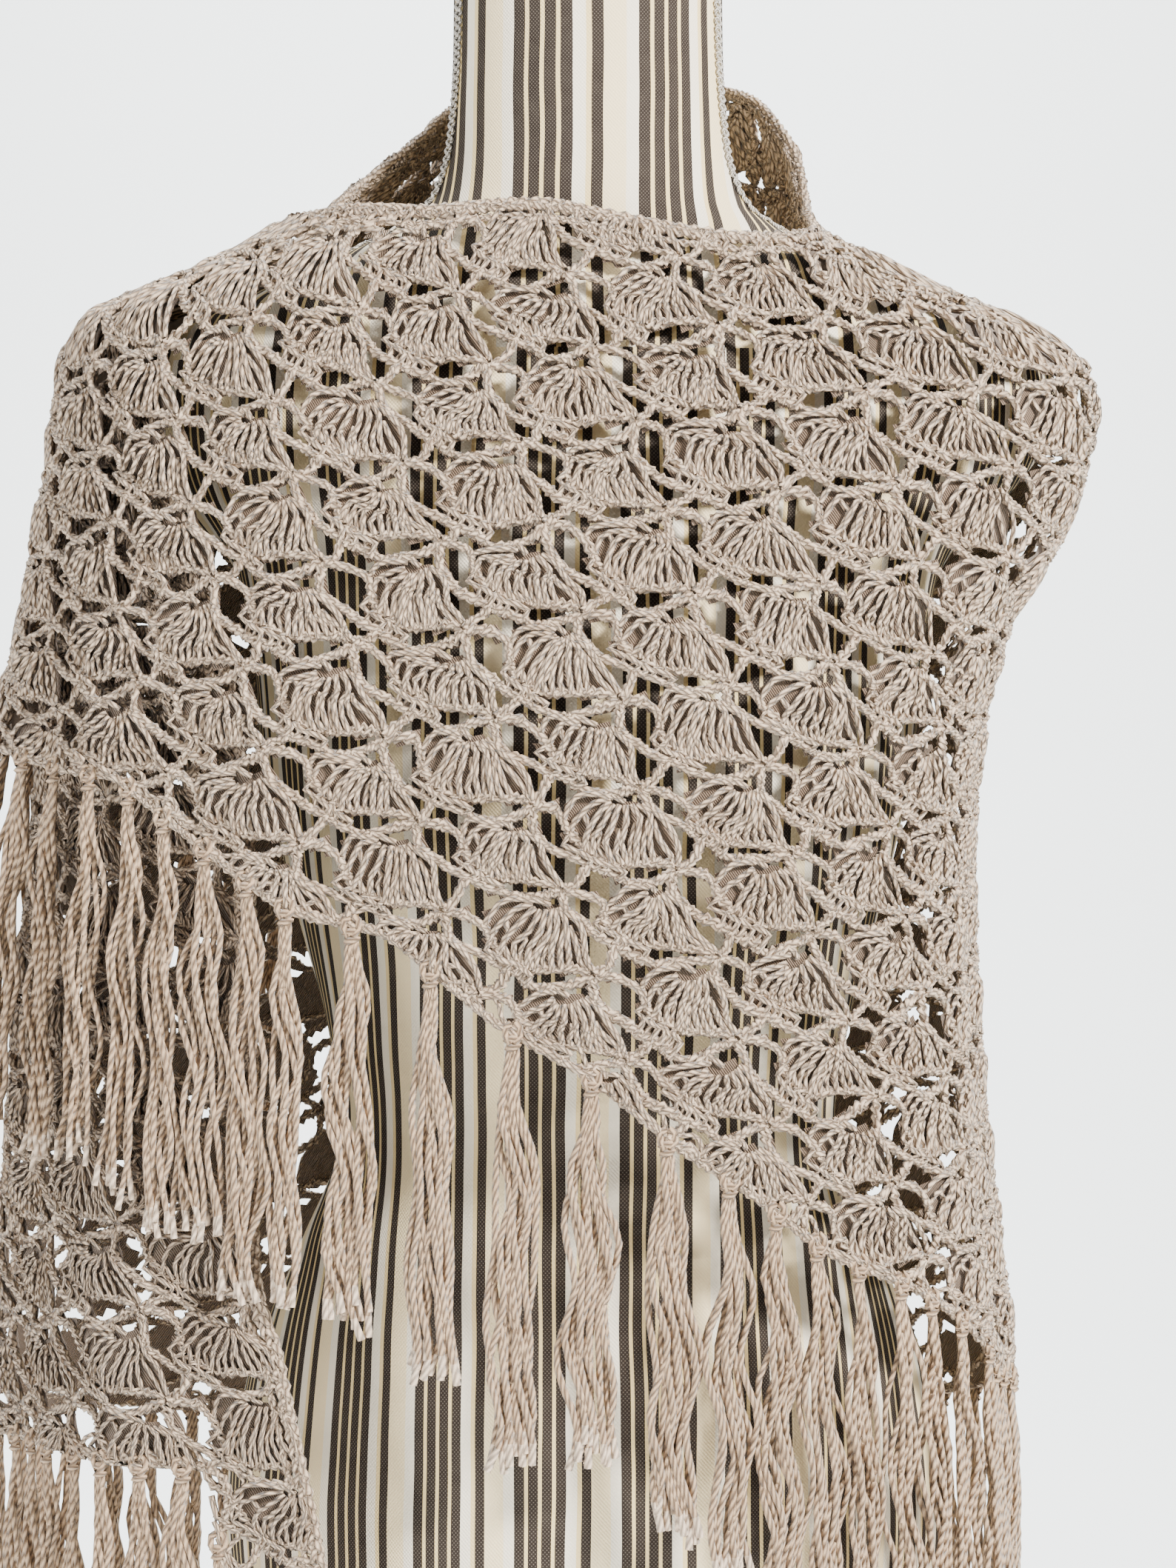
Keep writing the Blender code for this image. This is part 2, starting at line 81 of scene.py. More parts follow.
CLOTH_SQUARENESS = 2.2
# Place round the body runs from the middle of the front, in metres of an even slice.
HALF_RIGHT = 0.50
HALF_LEFT = 0.64
FULL_TURN = HALF_RIGHT + HALF_LEFT
EASE_LIMIT = 0.6
SLICE_STEP = 0.005
ARC_STEPS = 160
print("worn cloth from", CLOTH_SLICES[0][0], "to", CLOTH_SLICES[-1][0], "m high")


# %% Helpers for slices
def smooth(value):
    value = np.clip(value, 0.0, 1.0)
    return value * value * (3.0 - 2.0 * value)


def rounded(angle, half_width, front, behind, squareness):
    power = 2.0 / squareness
    across = half_width * np.abs(np.sin(angle)) ** power
    depth = np.where(np.cos(angle) >= 0.0, -front, behind)
    return across, depth * np.abs(np.cos(angle)) ** power


def eased_columns(table, step):
    """Rows of a table at even heights, joined by curves that never overshoot."""
    rows = np.array(table)
    heights = rows[:, 0]
    wanted = np.arange(heights[0], heights[-1] + step / 2.0, step)
    slopes = np.gradient(rows[:, 1:], heights, axis=0)
    steps = np.diff(rows[:, 1:], axis=0) / np.diff(heights)[:, None]
    before, after = steps[:-1], steps[1:]
    same = before * after > 0.0
    mean = 2.0 * before * after / np.where(same, before + after, 1.0)
    slopes[1:-1] = np.where(same, mean, 0.0)
    place = np.clip(np.searchsorted(heights, wanted, side="right") - 1, 0, len(rows) - 2)
    span = (heights[place + 1] - heights[place])[:, None]
    t = ((wanted - heights[place])[:, None]) / span
    low, high = rows[place, 1:], rows[place + 1, 1:]
    curve = (
        (2 * t**3 - 3 * t**2 + 1) * low
        + (t**3 - 2 * t**2 + t) * span * slopes[place]
        + (-2 * t**3 + 3 * t**2) * high
        + (t**3 - t**2) * span * slopes[place + 1]
    )
    return wanted, curve


def half_slices(widths, fronts, behinds, reference):
    """Points round one side of each slice, shared out as on one reference length."""
    angles = np.linspace(0.0, np.pi, 4 * ARC_STEPS + 1)
    shares = np.linspace(0.0, 1.0, ARC_STEPS + 1)
    grid = np.zeros((len(widths), ARC_STEPS + 1, 2))
    for k, sizes in enumerate(zip(widths, fronts, behinds)):
        x, y = rounded(angles, *sizes, CLOTH_SQUARENESS)
        length = np.concatenate([[0.0], np.cumsum(np.hypot(np.diff(x), np.diff(y)))])
        ease = min(reference / length[-1] - 1.0, EASE_LIMIT)
        wanted = shares + ease * np.sin(2.0 * np.pi * shares) / (2.0 * np.pi)
        grid[k, :, 0] = np.interp(wanted * length[-1], length, x)
        grid[k, :, 1] = np.interp(wanted * length[-1], length, y)
    return grid


print("one side of a slice has", ARC_STEPS + 1, "points")

# %% [markdown]
# ## Folds and edges
# Hanging cloth falls in soft folds. They could be sculpted, but a short list of
# bumps is easier to change. The straight selvage and the fringed sides are each
# a list of points.

# %% Folds
# Columns: place round the body, half width, depth outward, height where it starts.
FOLDS = (
    (-0.245, 0.030, -0.007, 0.960),
    (-0.345, 0.040, 0.006, 0.930),
    (0.215, 0.030, -0.005, 0.900),
    (0.275, 0.030, 0.006, 0.860),
    (0.345, 0.035, -0.007, 0.860),
    (0.415, 0.035, 0.008, 0.840),
    (0.490, 0.035, -0.007, 0.840),
    (0.570, 0.040, 0.008, 0.840),
    (0.655, 0.040, -0.008, 0.850),
    (0.740, 0.040, 0.007, 0.860),
    (0.875, 0.035, -0.007, 0.820),
    (0.945, 0.035, 0.006, 0.780),
)
FOLD_RAMP = 0.30
# The layer over the left shoulder lies on the one below, and flares out lower down.
LIFT = 0.0085
LIFT_FROM = -0.080
LIFT_FULL = -0.135
FLARE = 0.012
FLARE_FROM = -0.150
FLARE_FULL = -0.300
FLARE_TOP = 1.000
FLARE_HEIGHT = 0.220
FLARE_MOST = 1.2
print(len(FOLDS), "folds")

# %% Edges of the shawl
# Columns: place round the body, height.
SELVAGE = (
    (-0.540, 0.665), (-0.480, 0.800), (-0.420, 0.915), (-0.370, 0.975), (-0.320, 1.003),
    (-0.220, 1.006), (-0.140, 1.009), (-0.100, 1.012), (-0.030, 1.015), (0.000, 1.011),
    (0.030, 1.005), (0.060, 1.001), (0.090, 1.002), (0.120, 1.006), (0.160, 1.013),
    (0.200, 1.023), (0.250, 1.037), (0.300, 1.058), (0.350, 1.078), (0.420, 1.092),
    (0.500, 1.096), (0.580, 1.091), (0.660, 1.075), (0.740, 1.052), (0.820, 1.028),
    (0.870, 1.002), (0.910, 0.965), (0.940, 0.915), (0.965, 0.860), (0.992, 0.790),
    (1.000, 0.700), (1.003, 0.565), (1.012, 0.534), (1.019, 0.503), (1.026, 0.472),
    (1.033, 0.436), (1.043, 0.370),
)
FRINGED_EDGE = (
    (-0.540, 0.665), (-0.460, 0.733), (-0.400, 0.768), (-0.320, 0.785), (-0.280, 0.779),
    (-0.235, 0.770), (-0.200, 0.766), (-0.170, 0.745), (-0.122, 0.713), (-0.082, 0.702),
    (-0.038, 0.667), (0.000, 0.645), (0.038, 0.615), (0.070, 0.594), (0.100, 0.571),
    (0.145, 0.551), (0.175, 0.532), (0.205, 0.510), (0.250, 0.497), (0.320, 0.475),
    (0.400, 0.448), (0.500, 0.430), (0.580, 0.437), (0.660, 0.455), (0.740, 0.468),
    (0.820, 0.475), (0.880, 0.481), (0.982, 0.481), (0.988, 0.450), (0.997, 0.420),
    (1.013, 0.392), (1.043, 0.370),
)


def table_height(table, place):
    return np.interp(place, *np.array(table).T)


def edges_at(place):
    """Top and foot of the shawl at a place, and whether it is between the tips."""
    between = (place > SELVAGE[0][0]) & (place < SELVAGE[-1][0])
    return table_height(SELVAGE, place), table_height(FRINGED_EDGE, place), between


print("lace at the middle of the front:", *edges_at(0.0)[:2])

# %% The map
NORMAL_STEP = 0.006


class Drape:
    """Maps place round the body, height and distance off the cloth to space."""

    def __init__(self):
        self.heights, columns = eased_columns(CLOTH_SLICES, SLICE_STEP)
        right, left, front, behind = columns.T
        self.right = half_slices(right, front, behind, HALF_RIGHT)
        self.left = half_slices(left, front, behind, HALF_LEFT)

    def base_point(self, place, height):
        place = np.mod(np.asarray(place, dtype=float), FULL_TURN)
        height = np.asarray(height, dtype=float)
        on_right = place <= HALF_RIGHT
        share = np.where(on_right, place / HALF_RIGHT, (FULL_TURN - place) / HALF_LEFT)
        k = np.clip((height - self.heights[0]) / SLICE_STEP, 0.0, len(self.heights) - 1.001)
        j = np.clip(share * ARC_STEPS, 0.0, ARC_STEPS - 0.001)
        k0, j0 = k.astype(int), j.astype(int)
        kf, jf = (k - k0)[..., None], (j - j0)[..., None]
        result = np.zeros(place.shape + (2,))
        for side, grid, sign in ((on_right, self.right, 1.0), (~on_right, self.left, -1.0)):
            low, high = [grid[k, j0] * (1 - jf) + grid[k, j0 + 1] * jf for k in (k0, k0 + 1)]
            value = (low * (1 - kf) + high * kf) * np.array([sign, 1.0])
            result[side] = value[side]
        return np.concatenate([result, height[..., None]], axis=-1)

    def normal(self, place, height):
        step = NORMAL_STEP
        along = self.base_point(place + step, height) - self.base_point(place - step, height)
        up = self.base_point(place, height + step) - self.base_point(place, height - step)
        across = np.cross(along, up)
        return across / np.linalg.norm(across, axis=-1, keepdims=True)

    def lift(self, place, height):
        total = np.zeros(np.shape(place))
        for centre, half, depth, top in FOLDS:
            bump = np.clip(1.0 - ((place - centre) / half) ** 2, 0.0, 1.0) ** 2
            total = total + depth * bump * smooth((top - height) / FOLD_RAMP)
        over = smooth((LIFT_FROM - place) / (LIFT_FROM - LIFT_FULL))
        flare = smooth((FLARE_FROM - place) / (FLARE_FROM - FLARE_FULL))
        low = np.clip((FLARE_TOP - height) / FLARE_HEIGHT, 0.0, FLARE_MOST) ** 2
        return total + LIFT * over + FLARE * flare * low

    def points(self, flat):
        """Points in space for rows of place, height and distance off the cloth."""
        place, height, out = flat[:, 0], flat[:, 1], flat[:, 2]
        total = self.lift(place, height) + out
        return self.base_point(place, height) + self.normal(place, height) * total[:, None]


drape = Drape()
chest = drape.points(np.array([[0.0, 0.9, 0.0]]))[0]
print("chest point at", np.round(chest, 3))

# %% [markdown]
# ## Yarn as tubes
# A bump map could draw the stitches, but crochet this open shows round yarn at
# every gap. So each yarn is a thin tube. Its path is drawn flat, the map bends
# it, and the tube is built round it last, so it stays round on the shoulders.
# UVs run round and along the yarn, so that a material can twist its plies.


# %% Yarn paths
def smooth_path(path, step):
    """Catmull-Rom curve through a short path, sampled at about even steps."""
    path = np.asarray(path, dtype=float)
    ends = np.vstack([2 * path[0] - path[1], path, 2 * path[-1] - path[-2]])
    pieces = []
    for k in range(len(path) - 1):
        a, b, c, d = ends[k], ends[k + 1], ends[k + 2], ends[k + 3]
        count = max(1, int(round(np.linalg.norm(c - b) / step)))
        t = (np.arange(count) / count)[:, None]
        pieces.append(
            0.5 * (2 * b + (c - a) * t + (2 * a - 5 * b + 4 * c - d) * t**2
                   + (3 * b - a - 3 * c + d) * t**3)
        )
    pieces.append(path[-1:])
    return np.vstack(pieces)


def path_lengths(path):
    """Length along a path at each of its points."""
    return np.concatenate([[0.0], np.cumsum(np.linalg.norm(np.diff(path, axis=0), axis=1))])


def beside_path(path):
    """Unit steps square to a flat path, on its left."""
    slope = np.gradient(path[:, :2], axis=0)
    slope /= np.linalg.norm(slope, axis=1, keepdims=True)
    return np.stack([-slope[:, 1], slope[:, 0]], axis=1)


class Yarn:
    """Flat yarn paths, kept as plain arrays until the tubes are built."""

    def __init__(self):
        self.paths, self.radii, self.lengths, self.pale, self.links = [], [], [], [], []

    def add(self, path, radius, start=0.0, pale=None):
        self.paths.append(path)
        self.radii.append(np.broadcast_to(radius, (len(path),)))
        self.lengths.append(start + path_lengths(path))
        self.pale.append(np.zeros(len(path)) if pale is None else pale)
        self.links.append(np.arange(len(path)) < len(path) - 1)

    def arrays(self):
        return (
            np.vstack(self.paths), np.concatenate(self.radii), np.concatenate(self.lengths),
            np.concatenate(self.pale), np.concatenate(self.links),
        )


YARN_RADIUS = 0.00112
print("yarn is", round(2000 * YARN_RADIUS, 2), "mm thick")


# %% Tubes and meshes
def tubes(arrays, sides, bend=True):
    """Rings round every path point, joined where a link says so."""
    flat, radius, length, pale, link = arrays
    centre = drape.points(flat) if bend else flat
    out = drape.normal(flat[:, 0], flat[:, 1]) if bend else flat * np.array([1.0, 1.0, 0.0])
    after = np.where(link[:, None], np.roll(centre, -1, axis=0), centre)
    joined = np.roll(link, 1)
    before = np.where(joined[:, None], np.roll(centre, 1, axis=0), centre)
    tangent = after - before
    tangent /= np.linalg.norm(tangent, axis=1, keepdims=True) + 1e-12
    side = np.cross(tangent, out)
    side /= np.linalg.norm(side, axis=1, keepdims=True) + 1e-12
    up = np.cross(side, tangent)
    turn = 2.0 * np.pi * np.arange(sides) / sides
    ring = side[:, None] * np.cos(turn)[:, None] + up[:, None] * np.sin(turn)[:, None]
    points = centre[:, None] + ring * radius[:, None, None]
    k = np.nonzero(link)[0][:, None]
    s = np.arange(sides)[None]
    corners = ((0, 0), (1, 0), (1, 1), (0, 1))
    quads = np.stack([(k + on) * sides + (s + beside) % sides for beside, on in corners], -1)
    uvs = np.stack([
        np.stack(np.broadcast_arrays(s / sides + beside / sides, length[k + on]), -1)
        for beside, on in corners
    ], axis=2)
    slots = np.broadcast_to((pale[k] > 0.5).astype(int), quads.shape[:2])
    return points.reshape(-1, 3), quads.reshape(-1, 4), uvs.reshape(-1, 4, 2), slots.reshape(-1)


def place_in_scene(name, data):
    made = bpy.data.objects.new(name, data)
    bpy.context.scene.collection.objects.link(made)
    return made


def build_mesh(name, points, quads, materials, uvs=None, slots=None):
    """One smooth-shaded mesh object from arrays, without its unused points."""
    used = np.zeros(len(points), dtype=bool)
    used[quads.ravel()] = True
    index = np.cumsum(used) - 1
    points, quads = points[used], index[quads]
    mesh = bpy.data.meshes.new(name)
    mesh.vertices.add(len(points))
    mesh.vertices.foreach_set("co", points.astype(np.float32).ravel())
    mesh.loops.add(quads.size)
    mesh.loops.foreach_set("vertex_index", quads.astype(np.int32).ravel())
    mesh.polygons.add(len(quads))
    mesh.polygons.foreach_set("loop_start", np.arange(0, quads.size, 4, dtype=np.int32))
    mesh.polygons.foreach_set("use_smooth", np.ones(len(quads), dtype=bool))
    mesh.update(calc_edges=True)
    if uvs is not None:
        layer = mesh.uv_layers.new(name="yarn")
        layer.data.foreach_set("uv", uvs.astype(np.float32).ravel())
    for material in materials:
        mesh.materials.append(material)
    if slots is not None:
        mesh.polygons.foreach_set("material_index", slots.astype(np.int32))
    piece = place_in_scene(name, mesh)
    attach(piece, BODY)
    print(name, 2 * len(quads), "triangles")
    return piece


def yarn_piece(name, arrays, sides, materials, bend=True):
    points, quads, uvs, slots = tubes(arrays, sides, bend)
    piece = build_mesh(name, points, quads, materials, uvs, slots)
    return piece


print("tubes ready")

# %% [markdown]
# ## Materials
# Cotton yarn is matt with a soft sheen. A picture of yarn would blur up close,
# so its colour and bump are worked out from the UVs instead: a twist of plies,
# broken up by noise. The grooves between plies and between a post's strands
# are painted darker as shade. The cut ends of the fringe are paler.


# %% A recipe for one finish
class Finish:
    """One material, with short ways to add and join its nodes."""

    def __init__(self, name):
        self.material = bpy.data.materials.new(name)
        self.material.use_nodes = True
        self.nodes = self.material.node_tree.nodes
        self.join = self.material.node_tree.links.new
        self.shader = self.nodes["Principled BSDF"]

    def place(self):
        return self.nodes.new("ShaderNodeTexCoord").outputs["Object"]

    def split(self, vector):
        node = self.nodes.new("ShaderNodeSeparateXYZ")
        self.join(vector, node.inputs[0])
        return node.outputs

    def math(self, kind, *values):
        node = self.nodes.new("ShaderNodeMath")
        node.operation = kind
        for entry, value in zip(node.inputs, values):
            if isinstance(value, (int, float)):
                entry.default_value = value
            else:
                self.join(value, entry)
        return node.outputs[0]

    def mix(self, factor, first, second):
        node = self.nodes.new("ShaderNodeMix")
        node.data_type = "RGBA"
        self.join(factor, node.inputs["Factor"])
        entries = [entry for entry in node.inputs if entry.type == "RGBA"]
        for entry, value in zip(entries, (first, second)):
            if isinstance(value, tuple):
                entry.default_value = (*value, 1.0)
            else:
                self.join(value, entry)
        return [way_out for way_out in node.outputs if way_out.type == "RGBA"][0]

    def noise(self, scale, place=None, detail=2.0, distortion=0.0):
        node = self.nodes.new("ShaderNodeTexNoise")
        if place is not None:
            self.join(place, node.inputs["Vector"])
        for name, value in (("Scale", scale), ("Detail", detail), ("Distortion", distortion)):
            node.inputs[name].default_value = value
        return node.outputs["Fac"]

    def bump(self, relief, strength, distance):
        node = self.nodes.new("ShaderNodeBump")
        node.inputs["Strength"].default_value = strength
        node.inputs["Distance"].default_value = distance
        self.join(relief, node.inputs["Height"])
        self.join(node.outputs["Normal"], self.shader.inputs["Normal"])

    def finished(self, colour, roughness, specular=0.5):
        self.join(colour, self.shader.inputs["Base Color"])
        self.shader.inputs["Roughness"].default_value = roughness
        self.shader.inputs["Specular IOR Level"].default_value = specular
        print("material", self.material.name)
        return self.material


print("recipe ready")

# %% Yarn
PLIES = 3.0
GROOVE_SHARPNESS = 0.6
# A post is yarn wrapped round itself: one turn's length, strands, and how much
# painted shade darkens the gaps between the strands.
WRAP_LEAD = 0.0105
WRAPS = 2.0
WRAP_SHARPNESS = 0.55
WRAP_SHADE = 0.8
PATCH_SCALE = 55.0
FIBRE_SCALE = 1800.0
FIBRE_RELIEF = 0.5
YARN_BUMP = 0.0009


def yarn_material(name, light, mid, shade_colour, lead, wrapped, groove_shade):
    """Twisted plies with painted shade in their grooves; lead is the length in which a ply goes
    once round.
    """
    finish = Finish(name)
    calc = finish.math
    uv = finish.nodes.new("ShaderNodeUVMap")
    uv.uv_map = "yarn"
    split = finish.split(uv.outputs["UV"])
    turns = calc("ADD", split["X"], calc("DIVIDE", split["Y"], lead))
    wave = calc("SINE", calc("MULTIPLY", turns, PLIES * 2.0 * math.pi))
    groove = calc("POWER", calc("MULTIPLY_ADD", wave, 0.5, 0.5), GROOVE_SHARPNESS)
    # Painted shade: the colour darkens toward the shade colour in the ply grooves.
    deep = calc("MULTIPLY", calc("SUBTRACT", 1.0, groove), groove_shade)
    place = finish.place()
    relief = calc("MULTIPLY_ADD", finish.noise(FIBRE_SCALE, place, 3.0), FIBRE_RELIEF, groove)
    if wrapped:
        slope = calc("SUBTRACT", calc("DIVIDE", split["Y"], WRAP_LEAD), split["X"])
        strand = calc("ABSOLUTE", calc("SINE", calc("MULTIPLY", slope, WRAPS * math.pi)))
        strand = calc("POWER", strand, WRAP_SHARPNESS)
        # Painted shade in the gaps between a post's strands as well.
        deep = calc("MAXIMUM", deep, calc("MULTIPLY", calc("SUBTRACT", 1.0, strand), WRAP_SHADE))
        relief = calc("MULTIPLY_ADD", strand, wrapped, relief)
    body = finish.mix(finish.noise(PATCH_SCALE, place, 3.0), mid, light)
    finish.bump(relief, 1.0, YARN_BUMP)
    finish.shader.inputs["Sheen Weight"].default_value = 0.25
    finish.shader.inputs["Sheen Roughness"].default_value = 0.5
    return finish.finished(finish.mix(deep, body, shade_colour), 0.62)


# %% Cotton finishes
# Colours of the painted shade in the grooves between plies and strands.
YARN_GROOVE_SHADE = (0.12, 0.062, 0.028)
TRIM_GROOVE_SHADE = (0.46, 0.39, 0.31)
# Columns: name, light and middle colour, colour of the painted groove shade,
# length of a twist, how far the wraps of a post stand out, and how strong the painted shade is.
YARN_FINISHES = (
    ("cotton_yarn_stitches",
     (0.96, 0.765, 0.565), (0.62, 0.44, 0.285), YARN_GROOVE_SHADE, 0.0125, 1.3, 0.95),
    ("cotton_yarn_tassels", (0.80, 0.575, 0.37), (0.46, 0.30, 0.17), YARN_GROOVE_SHADE, 0.015, 0.0, 0.92),
    ("cotton_yarn_cut_ends", (0.95, 0.77, 0.59), (0.80, 0.61, 0.44), YARN_GROOVE_SHADE, 0.015, 0.0, 0.60),
    # The ground web's yarn is painted darker than the stitches as shade, and less dark on the
    # collar.
    ("cotton_yarn_web_painted_shade",
     (0.30, 0.205, 0.135), (0.23, 0.155, 0.10), YARN_GROOVE_SHADE, 0.0046, 0.0, 0.95),
    ("cotton_yarn_collar_web_painted_shade",
     (0.80, 0.64, 0.49), (0.62, 0.47, 0.345), YARN_GROOVE_SHADE, 0.0046, 0.0, 0.95),
    ("braid_trim_cotton", (0.96, 0.92, 0.83), (0.88, 0.83, 0.73), TRIM_GROOVE_SHADE, 0.0046, 0.0, 0.95),
)
stitch_yarn, tassel_yarn, cut_yarn, web_shade_yarn, collar_web_shade_yarn, trim_yarn = [
    yarn_material(*row) for row in YARN_FINISHES
]

# %% [markdown]
# ## Ticking linen and wood
# The cover's stripes could be straight bands of the X coordinate, but sewn
# cloth follows the body. So each stripe's place is measured round the form,
# worked out from its width at that height, and it bends in at the waist.

# %% Bands of the ticking
# Columns: height, half width of the form.
FORM_WIDTHS = (
    (0.36, 0.120), (0.44, 0.163), (0.50, 0.153), (0.56, 0.129), (0.61, 0.111), (0.66, 0.118),
    (0.74, 0.139), (0.82, 0.150), (0.86, 0.160), (0.92, 0.210), (0.95, 0.210), (0.985, 0.150),
    (1.010, 0.095), (1.030, 0.072), (1.060, 0.0645), (1.140, 0.0620),
)
WIDTH_LOW = 0.36
WIDTH_HIGH = 1.16
WIDTH_SCALE = 0.25
# A little more than the form, so that the stripes reach round its sides.
WIDTH_EASE = 1.02
SHARE_LIMIT = 0.998
# Columns: width of the band in metres, colour name. One repeat.
BANDS = (
    (0.0043, "charcoal"), (0.0015, "straw"), (0.0043, "charcoal"), (0.0015, "straw"),
    (0.0043, "charcoal"), (0.0015, "straw"), (0.0043, "charcoal"), (0.0046, "white"),
    (0.0018, "straw"), (0.0041, "charcoal"), (0.0080, "cream"), (0.0047, "white"),
)
BAND_COLOURS = {
    "charcoal": (0.013, 0.0075, 0.006, 1.0),
    "straw": (0.86, 0.67, 0.33, 1.0),
    "white": (0.96, 0.88, 0.71, 1.0),
    "cream": (0.96, 0.80, 0.49, 1.0),
}
# The neck is a panel of its own, with a wider repeat and another start.
NECK_PANEL_FROM = 0.95
NECK_PANEL_WIDER = 1.26
NECK_PHASE = 0.609
BODY_PHASE = 0.694
WHOLE_TURNS = 10.0
period = sum(width for width, colour in BANDS)
print("one repeat of the ticking is", round(1000 * period, 1), "mm")

# %% Ticking
# Plain weave: every second thread shows, so one repeat is two threads.
THREAD_ACROSS = 0.0016
THREAD_UP = 0.0017
WOBBLE_SCALE = 9.0
WOBBLE = 0.006
FLECK_COLOUR = (0.72, 0.62, 0.50)
FLECK_SHARPNESS = 4.5
FLECK_SHARE = 0.22
SLUB_SCALE = 160.0
SLUB_COLOUR = (0.55, 0.48, 0.38)
SLUB_SHARE = 0.06


def distance_round(finish, across, height):
    """How far round the form a point lies, from its X and Z."""
    level = finish.nodes.new("ShaderNodeMapRange")
    level.inputs["From Min"].default_value = WIDTH_LOW
    level.inputs["From Max"].default_value = WIDTH_HIGH
    finish.join(height, level.inputs["Value"])
    curve = finish.nodes.new("ShaderNodeFloatCurve")
    points = curve.mapping.curves[0].points
    for level_height, width in FORM_WIDTHS[1:-1]:
        points.new((level_height - WIDTH_LOW) / (WIDTH_HIGH - WIDTH_LOW), width / WIDTH_SCALE)
    points[0].location = (0.0, FORM_WIDTHS[0][1] / WIDTH_SCALE)
    points[-1].location = (1.0, FORM_WIDTHS[-1][1] / WIDTH_SCALE)
    curve.mapping.update()
    finish.join(level.outputs["Result"], curve.inputs["Value"])
    calc = finish.math
    width = calc("MULTIPLY", curve.outputs[0], WIDTH_SCALE * WIDTH_EASE)
    share = calc("MINIMUM", calc("DIVIDE", across, width), SHARE_LIMIT)
    return calc("MULTIPLY", calc("ARCSINE", calc("MAXIMUM", share, -SHARE_LIMIT)), width)


def stripes(finish, shift, height):
    """Colour of the band at a distance round the form."""
    calc = finish.math
    on_neck = calc("GREATER_THAN", height, NECK_PANEL_FROM)
    repeat = calc("MULTIPLY_ADD", on_neck, period * (NECK_PANEL_WIDER - 1.0), period)
    turns = calc("ADD", calc("DIVIDE", shift, repeat), WHOLE_TURNS + BODY_PHASE)
    turns = calc("MULTIPLY_ADD", on_neck, NECK_PHASE - BODY_PHASE, turns)
    ramp = finish.nodes.new("ShaderNodeValToRGB")
    ramp.color_ramp.interpolation = "CONSTANT"
    stops = ramp.color_ramp.elements
    start = 0.0
    for k, (width, colour) in enumerate(BANDS):
        stop = stops[0] if k == 0 else stops.new(start / period)
        stop.color = BAND_COLOURS[colour]
        start += width
    stops[-1].color = BAND_COLOURS["white"]
    finish.join(calc("FRACT", turns), ramp.inputs["Fac"])
    return ramp.outputs["Color"]


def ticking_material():
    finish = Finish("ticking_linen_weave")
    place = finish.place()
    split = finish.split(place)
    across = distance_round(finish, split["X"], split["Z"])
    calc = finish.math
    wobble = calc("SUBTRACT", finish.noise(WOBBLE_SCALE, place), 0.5)
    striped = stripes(finish, calc("MULTIPLY_ADD", wobble, WOBBLE, across), split["Z"])
    warp = calc("SINE", calc("MULTIPLY", across, 2.0 * math.pi / THREAD_ACROSS))
    weft = calc("SINE", calc("MULTIPLY", split["Z"], 2.0 * math.pi / THREAD_UP))
    cross = calc("MULTIPLY", warp, weft)
    finish.bump(cross, 0.5, 0.00025)
    # Pale threads cross the dark bands only.
    tone = finish.nodes.new("ShaderNodeRGBToBW")
    finish.join(striped, tone.inputs["Color"])
    darkness = calc("POWER", calc("SUBTRACT", 1.0, tone.outputs["Val"]), 3.0)
    fleck = calc("POWER", calc("MULTIPLY_ADD", cross, 0.5, 0.5), FLECK_SHARPNESS)
    fleck = calc("MULTIPLY", calc("MULTIPLY", fleck, darkness), FLECK_SHARE)
    woven = finish.mix(fleck, striped, FLECK_COLOUR)
    mottle = calc("MULTIPLY", finish.noise(SLUB_SCALE, place, 4.0), SLUB_SHARE)
    return finish.finished(finish.mix(mottle, woven, SLUB_COLOUR), 0.88, specular=0.2)


ticking = ticking_material()

# %% Wood
WOOD_DARK = (0.055, 0.024, 0.011)
WOOD_LIGHT = (0.17, 0.085, 0.042)
GRAIN_STRETCH = (22.0, 22.0, 3.0)


def wood_material():
    finish = Finish("dark_wood_grain")
    stretch = finish.nodes.new("ShaderNodeMapping")
    stretch.inputs["Scale"].default_value = GRAIN_STRETCH
    finish.join(finish.place(), stretch.inputs["Vector"])
    grain = finish.noise(4.0, stretch.outputs["Vector"], detail=8.0, distortion=1.2)
    finish.bump(grain, 0.15, 0.0004)
    return finish.finished(finish.mix(grain, WOOD_DARK, WOOD_LIGHT), 0.55, specular=0.3)


wood = wood_material()
FORM_FINISHES = (
    ("form_body", ticking), ("form_neck_cap", wood), ("form_pole", wood), ("form_base", wood),
)
for name, material in FORM_FINISHES:
    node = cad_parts[name]
    for slot in node.material_slots:
        slot.material = material
    for polygon in node.data.polygons:
        polygon.use_smooth = name == "form_body"
print("form parts finished", len(FORM_FINISHES))
